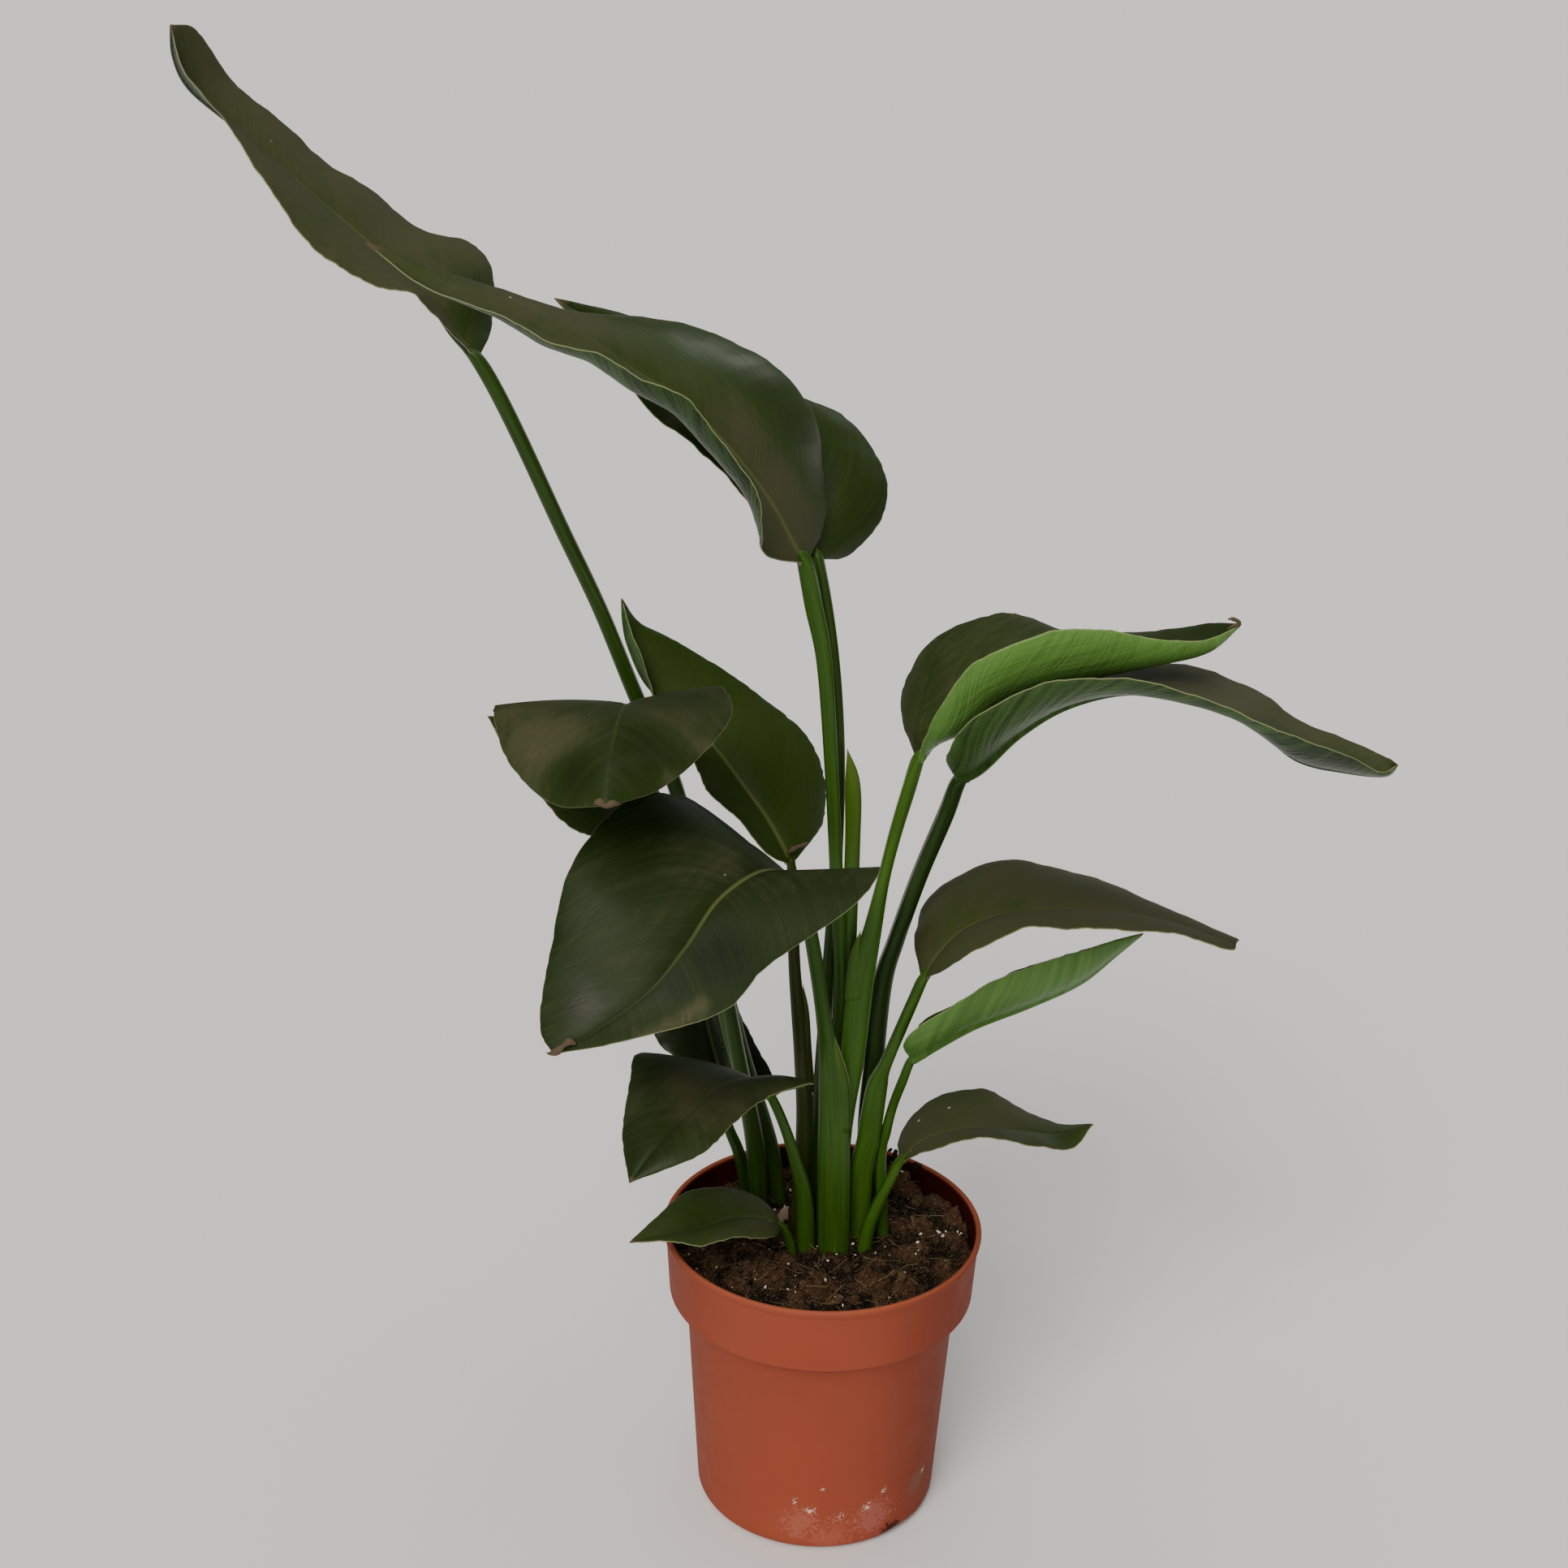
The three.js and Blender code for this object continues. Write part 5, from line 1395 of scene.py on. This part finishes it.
turned_pot = run_geometry_tree("turned_pot", pot_mesh, drain_tree, drain_inputs, {
    "Holes": 6, "Hole Radius": 5 * MM, "Ring Radius": 42 * MM, "Foot Radius": BASE_RADIUS * MM,
    "Notch Width": 36 * MM, "Notch Height": 8.8 * MM, "Notch Depth": 24 * MM,
    "Finish": moulded_polypropylene,
})
turned_pot.data.materials.clear()  # cutting leaves an empty slot behind
turned_pot.data.materials.append(moulded_polypropylene)
turned_pot.data.polygons.foreach_set("material_index", [0] * len(turned_pot.data.polygons))
turned_pot.data.shade_smooth()
turned_pot.data.set_sharp_from_angle(angle=SHARP_EDGE)
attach(turned_pot, "root")
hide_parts("pot")
print("pot:", len(turned_pot.data.polygons), "faces")

# %% [markdown]
# ## Soil
#
# Potting mix is peat and composted bark: crumbs from dust to the size of a cherry, matted with
# fibres. Three layers give that look. First comes the bed, a closed solid with the mounds of the
# plain one and a lumpy top of noise. Crumbs, perlite and fibres are scattered over it afterwards.

# %% Soil bed
SOIL_LEVEL, SOIL_GAP, SOIL_CORNER = 149, 0.6, 3
# Mounds and hollows: x, y, how high each rises, and how far it reaches
SOIL_MOUNDS = [
    (0, 2, 3.5, 34), (62, 26, 7, 11), (30, -38, 4, 15), (-8, -46, 4.5, 13),
    (50, -22, 4, 14), (-38, -36, 2.5, 15), (42, 52, 4, 14), (66, -2, 3, 12),
    (-58, -6, -3, 20), (-50, 30, -3, 16), (8, -66, 2.5, 12), (-14, 60, 2, 16),
    (22, -60, 2.5, 9), (-52, -50, 2, 12), (12, 70, 3, 10), (36, 16, 2.5, 10),
]
# Clods: x, y, how far across half of each is, and how far it stands out of the bed
CLODS = [
    (71, 21, 6.5, 5), (51, -10, 11, 4), (46, -43, 8.5, 4.5), (-29, -33, 9.5, 4), (-12, -52, 8, 3.5),
    (56, 16, 7.5, 4), (62, -24, 6, 3), (-1, -33, 7, 3.5), (25, -40, 8, 4), (-54, -18, 7, 3),
    (12, -56, 7, 3), (-46, -40, 7, 3), (40, 58, 8, 6), (50, 52, 7, 5), (36, -24, 7, 3),
    (-60, 18, 7, 3), (30, 40, 7, 3), (-30, 62, 8, 3), (0, 66, 8, 3), (-20, -20, 6, 3),
    (41, 66, 7, 12), (73, 2, 9, 4), (70, -24, 9, 3.5), (64, 40, 10, 4), (76, 22, 7, 4),
]
SOIL_SIDES = 360
SOIL_RINGS = 110
# Lumps: how far across each size is and how high it stands, in millimetres
LUMPS = ((13, 6.5), (6, 3.8), (2.8, 1.7))


def soil_height(x, y):
    """The level of the bed before its lumps, in millimetres."""
    height = SOIL_LEVEL + 0.8 * math.sin(x * 0.21 + 1) * math.sin(y * 0.24)
    for mound_x, mound_y, rise, reach in SOIL_MOUNDS:
        height += rise * math.exp(-((x - mound_x) ** 2 + (y - mound_y) ** 2) / reach ** 2)
    return height


def lumpy_height(x, y):
    """The bed with its clods, and round lumps of three sizes with deep creases between them."""
    warp = 0.4 * noise.noise(Vector((x / 7, y / 7, 9)))
    height = soil_height(x, y) + 0.5 * noise.fractal(Vector((x / 3, y / 3, 0)), 0.8, 2.1, 4)
    for across, rise in LUMPS:
        from_middle = noise.voronoi(Vector((x / across + warp, y / across - warp, across)))[0][0]
        height += rise * (0.3 - 1.2 * from_middle ** 2)
    for clod_x, clod_y, half, rise in CLODS:
        away = math.hypot(x - clod_x, y - clod_y) / half
        away *= 1 + 0.35 * noise.noise(Vector((x / 5, y / 5, clod_x)))
        if away < 1:
            height += rise * (1 - away ** 2) ** 0.5
    return height


def keep_dryness_and_crease_shade(mesh):
    """Marks each point from 0, down in a damp crease painted in shade, to 1, on a lump dried pale.
    """
    values = []
    for point in mesh.vertices:
        x, y = point.co.x / MM, point.co.y / MM
        values.append(min(max(0.42 + 0.2 * (lumpy_height(x, y) - soil_height(x, y)), 0), 1))
    mesh.attributes.new("dry_and_crease_shade", "FLOAT", "POINT").data.foreach_set("value", values)


low = FLOOR_TOP + SOIL_GAP
step = COLLAR_FOOT + WALL + SOIL_GAP
outer = inner_radius(SOIL_LEVEL) - SOIL_GAP
bed_mesh = turned("soil_bed", [
    (0, low), (inner_radius(low) - SOIL_CORNER, low),
    (inner_radius(low + SOIL_CORNER) - SOIL_GAP, low + SOIL_CORNER),
    (inner_radius(COLLAR_FOOT - WALL) - SOIL_GAP, step), (inner_radius(step) - SOIL_GAP, step),
    *((outer * k / SOIL_RINGS, lumpy_height) for k in range(SOIL_RINGS, -1, -1)),
], SOIL_SIDES)
keep_dryness_and_crease_shade(bed_mesh)
bed_mesh.shade_smooth()
print("soil bed:", len(bed_mesh.polygons), "faces")

# %% [markdown]
# Wet peat is mid brown where a crumb has dried, and its cracks are painted almost black as shade.
# One tree serves the bed and the crumbs: its colour mixes three browns by noise at the size of a
# crumb, and a fine bump gives the broken fibrous surface. It is matt, with the faint glint of damp.

# %% Soil finishes
SHREDS_PER_METRE = 420


def soil_finish(name, dark_and_shaded, middle, light, scale):
    """Peat and bark: three browns, broken up at the given scale per metre."""
    material, tree, shader = new_finish(name)
    place = add_node(tree, "ShaderNodeTexCoord").outputs["Object"]
    dry_and_crease_shade = add_node(tree, "ShaderNodeAttribute", attribute_name="dry_and_crease_shade")
    patches = add_node(tree, "ShaderNodeTexNoise", {
        "Vector": place, "Scale": scale, "Detail": 6, "Roughness": 0.7,
    })
    shreds = add_node(tree, "ShaderNodeTexNoise", {
        "Vector": place, "Scale": SHREDS_PER_METRE, "Detail": 5, "Roughness": 0.7,
        "Distortion": 2.5,
    })
    # A crease is painted near black as shade, while a high lump has the paler brown of dried peat
    drying_and_shading = add_node(tree, "ShaderNodeMath", {
        0: dry_and_crease_shade.outputs["Fac"], 1: 0.8, 2: patches.outputs["Fac"],
    }, operation="MULTIPLY_ADD")
    drier_and_unshaded = add_node(tree, "ShaderNodeMapRange", {
        "Value": drying_and_shading.outputs[0], "From Min": 0.65, "From Max": 1.15,
    })
    browns = add_node(tree, "ShaderNodeMix", {
        FACTOR: drier_and_unshaded.outputs[0], FIRST: paint(dark_and_shaded), SECOND: paint(middle),
    }, data_type="RGBA")
    flecks = add_node(tree, "ShaderNodeMapRange", {
        "Value": shreds.outputs["Fac"], "From Min": 0.52, "From Max": 0.68, "To Max": 0.75,
    })
    flecked = add_node(tree, "ShaderNodeMix", {
        FACTOR: flecks.outputs[0], FIRST: browns.outputs[MIXED], SECOND: paint(light),
    }, data_type="RGBA")
    tree.links.new(flecked.outputs[MIXED], shader.inputs["Base Color"])
    bump = add_node(tree, "ShaderNodeBump", {
        "Strength": 1, "Distance": 1.2 * MM, "Height": shreds.outputs["Fac"],
    })
    tree.links.new(bump.outputs[0], shader.inputs["Normal"])
    shader.inputs["Roughness"].default_value = 0.7
    shader.inputs["Specular IOR Level"].default_value = 0.2
    return material


# Damp peat is matt, nearly black where its cracks are painted in shade, and has a faint glint;
# bark crumbs are paler, rougher and less damp
damp_peat = soil_finish("damp_peat", "#0d0806", "#4a3222", "#968062", 160)
dry_bark_crumbs = soil_finish("dry_bark_crumbs", "#180f0a", "#58422f", "#a08c6c", 150)

bed_mesh.materials.append(damp_peat)
soil_bed = put_in_scene("soil_bed", bed_mesh)
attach(soil_bed, "root")
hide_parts("soil")
print("soil finishes:", damp_peat.name, dry_bark_crumbs.name)

# %% [markdown]
# Crumbs and perlite are the same job at other sizes: points thrown on the top of the bed, a small
# ball set on each with its own size and turn, and the balls then pushed in and out by noise so that
# no two are alike. One Geometry Nodes tree does both. It is run on the top of the bed only, and its
# seed is fixed, so that the same crumbs fall in the same places each time.

# %% Crumb tree
FULL_TURN = 6.3  # just over a full turn, in radians

tree, given, made, crumb_inputs = new_geometry_tree("scattered_crumbs", {
    "Spacing": "Float", "Density": "Float", "Seed": "Int", "Smallest": "Float", "Largest": "Float",
    "Roundness": "Int", "Lump Size": "Float", "Lumps Per Metre": "Float", "Lift": "Float",
    "Finish": "Material",
})
thrown = add_node(tree, "GeometryNodeDistributePointsOnFaces", {
    "Mesh": given["Geometry"], "Distance Min": given["Spacing"],
    "Density Max": given["Density"], "Seed": given["Seed"],
}, distribute_method="POISSON")
ball = add_node(tree, "GeometryNodeMeshIcoSphere", {
    "Radius": 1, "Subdivisions": given["Roundness"],
})
size = add_node(tree, "FunctionNodeRandomValue", {
    2: given["Smallest"], 3: given["Largest"], "Seed": given["Seed"],
})
squeeze = add_node(tree, "FunctionNodeRandomValue", {
    0: (0.6, 0.5, 0.4), 1: (1.5, 1.1, 0.8), "Seed": given["Seed"],
}, data_type="FLOAT_VECTOR")
shape = add_node(tree, "ShaderNodeVectorMath", {
    0: squeeze.outputs[0], "Scale": size.outputs[1],
}, operation="SCALE")
roll = add_node(tree, "FunctionNodeRandomValue", {
    0: (0, 0, 0), 1: (FULL_TURN, FULL_TURN, FULL_TURN), "Seed": given["Seed"],
}, data_type="FLOAT_VECTOR")
balls = add_node(tree, "GeometryNodeInstanceOnPoints", {
    "Points": thrown.outputs["Points"], "Instance": ball.outputs["Mesh"],
    "Rotation": roll.outputs[0], "Scale": shape.outputs[0],
})
single = add_node(tree, "GeometryNodeRealizeInstances", {"Geometry": balls.outputs[0]})
where = add_node(tree, "GeometryNodeInputPosition")
lumps = add_node(tree, "ShaderNodeTexNoise", {
    "Vector": where.outputs[0], "Scale": given["Lumps Per Metre"], "Detail": 2, "Roughness": 0.6,
})
push = add_node(tree, "ShaderNodeMath", {0: lumps.outputs["Fac"], 1: 0.5}, operation="SUBTRACT")
push_size = add_node(tree, "ShaderNodeMath", {
    0: push.outputs[0], 1: given["Lump Size"],
}, operation="MULTIPLY")
facing = add_node(tree, "GeometryNodeInputNormal")
outward = add_node(tree, "ShaderNodeVectorMath", {
    0: facing.outputs[0], "Scale": push_size.outputs[0],
}, operation="SCALE")
raised = add_node(tree, "ShaderNodeCombineXYZ", {"Z": given["Lift"]})
moved_by = add_node(tree, "ShaderNodeVectorMath", {
    0: outward.outputs[0], 1: raised.outputs[0],
}, operation="ADD")
rough_crumbs = add_node(tree, "GeometryNodeSetPosition", {
    "Geometry": single.outputs[0], "Offset": moved_by.outputs[0],
})
finished = add_node(tree, "GeometryNodeSetMaterial", {
    "Geometry": rough_crumbs.outputs[0], "Material": given["Finish"],
})
tree.links.new(finished.outputs[0], made.inputs[0])
crumb_tree = tree
print("crumb tree:", len(tree.nodes), "nodes")

# %% [markdown]
# The throwing ground is a plain copy of the top of the bed, kept a little inside the pot's wall, so
# that no crumb grows into the plastic. Large crumbs lie far apart and small ones fill in between.

# %% Crumbs and perlite
GROUND_RINGS, GROUND_SIDES = 40, 128
PITS_PER_METRE = 1800  # coarser than the real pits of perlite, which wouldn't show


def throwing_ground(name, reach):
    """The top of the bed as a sheet, out to a share of its radius."""
    rings, sides = GROUND_RINGS, GROUND_SIDES
    points = ring_points(0, 1, lumpy_height)
    for i in range(1, rings + 1):
        points += ring_points(outer * reach * i / rings, sides, lumpy_height)
    faces = [(0, 1 + k, 1 + (k + 1) % sides) for k in range(sides)]
    for i in range(rings - 1):
        near, far = 1 + i * sides, 1 + (i + 1) * sides
        for k in range(sides):
            after = (k + 1) % sides
            faces.append((near + k, far + k, far + after, near + after))
    sheet = new_mesh(name, points, faces)
    keep_dryness_and_crease_shade(sheet)
    return sheet


# Chalky white: a matt grain, pitted all over where the gas has left it
expanded_perlite, tree, shader = new_finish("expanded_perlite")
shader.inputs["Base Color"].default_value = paint("#e9e4da")
shader.inputs["Roughness"].default_value = 0.7
place = add_node(tree, "ShaderNodeTexCoord").outputs["Object"]
pits = add_node(tree, "ShaderNodeTexNoise", {
    "Vector": place, "Scale": PITS_PER_METRE, "Detail": 3,
})
bump = add_node(tree, "ShaderNodeBump", {
    "Strength": 0.8, "Distance": 0.2 * MM, "Height": pits.outputs["Fac"],
})
tree.links.new(bump.outputs[0], shader.inputs["Normal"])

# Spacing and sizes in millimetres, points per square metre, seed, roundness, height and number per
# metre of the lumps, lift, finish, and the share of the bed's radius that is covered
CRUMBS = {
    "bark_crumbs": (8, 14000, 3, 1.6, 4.2, 2, 5, 260, -0.4, dry_bark_crumbs, 0.93),
    "peat_crumbs": (2.6, 150000, 8, 0.8, 2.0, 1, 2.5, 500, 0.3, damp_peat, 0.96),
    "fine_crumbs": (1.9, 200000, 5, 0.4, 0.9, 1, 1, 900, 0.6, dry_bark_crumbs, 0.97),
    "perlite": (3, 3400, 21, 0.3, 1.05, 2, 2.0, 1000, 1.8, expanded_perlite, 0.95),
}
for crumb_name, settings in CRUMBS.items():
    space, density, seed, least, most, roundness, lump, fineness, lift, finish, reach = settings
    ground = throwing_ground(crumb_name, reach)
    crumbs = run_geometry_tree(crumb_name, ground, crumb_tree, crumb_inputs, {
        "Spacing": space * MM, "Density": density, "Seed": seed, "Smallest": least * MM,
        "Largest": most * MM, "Roundness": roundness, "Lump Size": lump * MM,
        "Lumps Per Metre": fineness, "Lift": lift * MM, "Finish": finish,
    })
    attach(crumbs, "root")
    print(crumb_name, len(crumbs.data.polygons), "faces")

# %% [markdown]
# A few black scraps of peat lie on the rim at the back, where they spilled when the pot was filled.
# They come from the same crumb tree, thrown on a short strip that follows the rim and rises a
# little over the heap of soil inside it.

# %% Scraps on the rim
scrap_places, scrap_faces = [], []
for k, degrees in enumerate(range(47, 66, 3)):
    a = math.radians(degrees)
    rise = POT_HEIGHT + 1 + 4 * math.exp(-(((degrees - 62) / 3.5) ** 2))
    scrap_places += [(r * math.cos(a) * MM, r * math.sin(a) * MM, rise * MM) for r in (77, 83)]
    if k:
        scrap_faces.append((2 * k - 2, 2 * k - 1, 2 * k + 1, 2 * k))
rim_strip = new_mesh("rim_strip", scrap_places, scrap_faces)
rim_scraps = run_geometry_tree("rim_scraps", rim_strip, crumb_tree, crumb_inputs, {
    "Spacing": 2.5 * MM, "Density": 120000, "Seed": 5, "Smallest": 0.8 * MM, "Largest": 2.2 * MM,
    "Roundness": 2, "Lump Size": 3.5 * MM, "Lumps Per Metre": 450, "Lift": -0.8 * MM,
    "Finish": damp_peat,
})
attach(rim_scraps, "root")
print("rim_scraps", len(rim_scraps.data.polygons), "faces")

# %% [markdown]
# Fine pale roots and brown strands of coir curl over the crumbs. Each is a short straight line set
# on a thrown point, turned at random, bent by noise at every point along it, and then given a round
# section.

# %% Fibres
POINTS_PER_FIBRE = 9
BENDS_PER_METRE = 55
TILT = 0.25  # how far a fibre may tip from level, in radians
FLATTER = (1, 1, 0.35)  # fibres curl more along the ground than up and down

tree, given, made, fibre_inputs = new_geometry_tree("curling_fibres", {
    "Spacing": "Float", "Density": "Float", "Seed": "Int", "Length": "Float", "Thickness": "Float",
    "Curl": "Float", "Lift": "Float", "Finish": "Material",
})
thrown = add_node(tree, "GeometryNodeDistributePointsOnFaces", {
    "Mesh": given["Geometry"], "Distance Min": given["Spacing"],
    "Density Max": given["Density"], "Seed": given["Seed"],
}, distribute_method="POISSON")
ends = []
for half in (0.5, -0.5):
    reach = add_node(tree, "ShaderNodeMath", {0: given["Length"], 1: half}, operation="MULTIPLY")
    ends.append(add_node(tree, "ShaderNodeCombineXYZ", {"X": reach.outputs[0]}))
line = add_node(tree, "GeometryNodeCurvePrimitiveLine", {
    "Start": ends[0].outputs[0], "End": ends[1].outputs[0],
})
fine_line = add_node(tree, "GeometryNodeResampleCurve", {
    "Curve": line.outputs[0], "Count": POINTS_PER_FIBRE,
})
turn = add_node(tree, "FunctionNodeRandomValue", {
    0: (-TILT, -TILT, 0), 1: (TILT, TILT, FULL_TURN), "Seed": given["Seed"],
}, data_type="FLOAT_VECTOR")
size = add_node(tree, "FunctionNodeRandomValue", {2: 0.4, 3: 1.2, "Seed": given["Seed"]})
lines = add_node(tree, "GeometryNodeInstanceOnPoints", {
    "Points": thrown.outputs["Points"], "Instance": fine_line.outputs[0],
    "Rotation": turn.outputs[0], "Scale": size.outputs[1],
})
single = add_node(tree, "GeometryNodeRealizeInstances", {"Geometry": lines.outputs[0]})
where = add_node(tree, "GeometryNodeInputPosition")
wander = add_node(tree, "ShaderNodeTexNoise", {
    "Vector": where.outputs[0], "Scale": BENDS_PER_METRE, "Detail": 1,
})
centred = add_node(tree, "ShaderNodeVectorMath", {
    0: wander.outputs["Color"], 1: (0.5, 0.5, 0.5),
}, operation="SUBTRACT")
flatter = add_node(tree, "ShaderNodeVectorMath", {
    0: centred.outputs[0], 1: FLATTER,
}, operation="MULTIPLY")
bent = add_node(tree, "ShaderNodeVectorMath", {
    0: flatter.outputs[0], "Scale": given["Curl"],
}, operation="SCALE")
raised = add_node(tree, "ShaderNodeCombineXYZ", {"Z": given["Lift"]})
moved_by = add_node(tree, "ShaderNodeVectorMath", {
    0: bent.outputs[0], 1: raised.outputs[0],
}, operation="ADD")
curled = add_node(tree, "GeometryNodeSetPosition", {
    "Geometry": single.outputs[0], "Offset": moved_by.outputs[0],
})
section = add_node(tree, "GeometryNodeCurvePrimitiveCircle", {
    "Resolution": 3, "Radius": given["Thickness"],
})
tubes = add_node(tree, "GeometryNodeCurveToMesh", {
    "Curve": curled.outputs[0], "Profile Curve": section.outputs["Curve"], "Fill Caps": True,
})
finished = add_node(tree, "GeometryNodeSetMaterial", {
    "Geometry": tubes.outputs[0], "Material": given["Finish"],
})
tree.links.new(finished.outputs[0], made.inputs[0])
fibre_tree = tree
print("fibre tree:", len(tree.nodes), "nodes")

# Roots are smooth, pale and dull; strands of coir are brown and rough, like the bark around them
dry_root_fibre, tree, shader = new_finish("dry_root_fibre")
shader.inputs["Base Color"].default_value = paint("#97825f")
shader.inputs["Roughness"].default_value = 0.6
coir_strand = soil_finish("coir_strand", "#22160c", "#5c472e", "#a08b66", 300)

# Spacing, density, seed, length, thickness, curl, lift, finish, reach
FIBRES = {
    "root_fibres": (9, 11000, 4, 17, 0.12, 12, 2.8, dry_root_fibre, 0.84),
    "coir_strands": (3.3, 90000, 12, 6, 0.25, 5, 1.9, coir_strand, 0.9),
}
for fibre_name, (space, density, seed, length, thick, curl, lift, finish, reach) in FIBRES.items():
    ground = throwing_ground(fibre_name, reach)
    fibres = run_geometry_tree(fibre_name, ground, fibre_tree, fibre_inputs, {
        "Spacing": space * MM, "Density": density, "Seed": seed, "Length": length * MM,
        "Thickness": thick * MM, "Curl": curl * MM, "Lift": lift * MM, "Finish": finish,
    })
    fibres.data.shade_smooth()
    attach(fibres, "root")
    print(fibre_name, len(fibres.data.polygons), "faces")

# %% [markdown]
# ## Dry leaf base
#
# A scrap of an old leaf's sheath stands among the stems: thin, pale and papery, with fibres running
# up it. It is swept like a stalk.

# %% Dry leaf base
DRY_BASE = [
    (-21, 22, 138, 8, 2.6), (-21, 22, 150, 8, 2.6), (-20, 21, 157, 5, 1.8), (-18, 20, 161, 0, 0),
]
FACES_RIGHT = (1, 0, 0)

# Dry skin: pale, matt and stringy
dry_papery_sheath, tree, shader = new_finish("dry_papery_sheath")
grain = add_node(tree, "ShaderNodeAttribute", attribute_name="grain").outputs["Vector"]
fibres = add_node(tree, "ShaderNodeTexNoise", {"Vector": grain, "Scale": 1.2, "Detail": 4})
straw = add_node(tree, "ShaderNodeMix", {
    FACTOR: fibres.outputs["Fac"], FIRST: paint("#7d6450"), SECOND: paint("#d6c3aa"),
}, data_type="RGBA")
tree.links.new(straw.outputs[MIXED], shader.inputs["Base Color"])
bump = add_node(tree, "ShaderNodeBump", {
    "Strength": 0.8, "Distance": 0.3 * MM, "Height": fibres.outputs["Fac"],
})
tree.links.new(bump.outputs[0], shader.inputs["Normal"])
shader.inputs["Roughness"].default_value = 0.8

scrap_body = LeafBody()
scrap_rings = stalk_rings(DRY_BASE, FACES_RIGHT, FACES_RIGHT, 1, 3, True)
scrap_body.add_shell(*scrap_rings, [STALK] * STALK_SIDES, 0)
scrap = scrap_body.to_object("papery_stub", [dry_papery_sheath] * 3, {})
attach(scrap, "root")
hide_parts("dry_leaf_base")
print("dry base:", len(scrap.data.polygons), "faces")
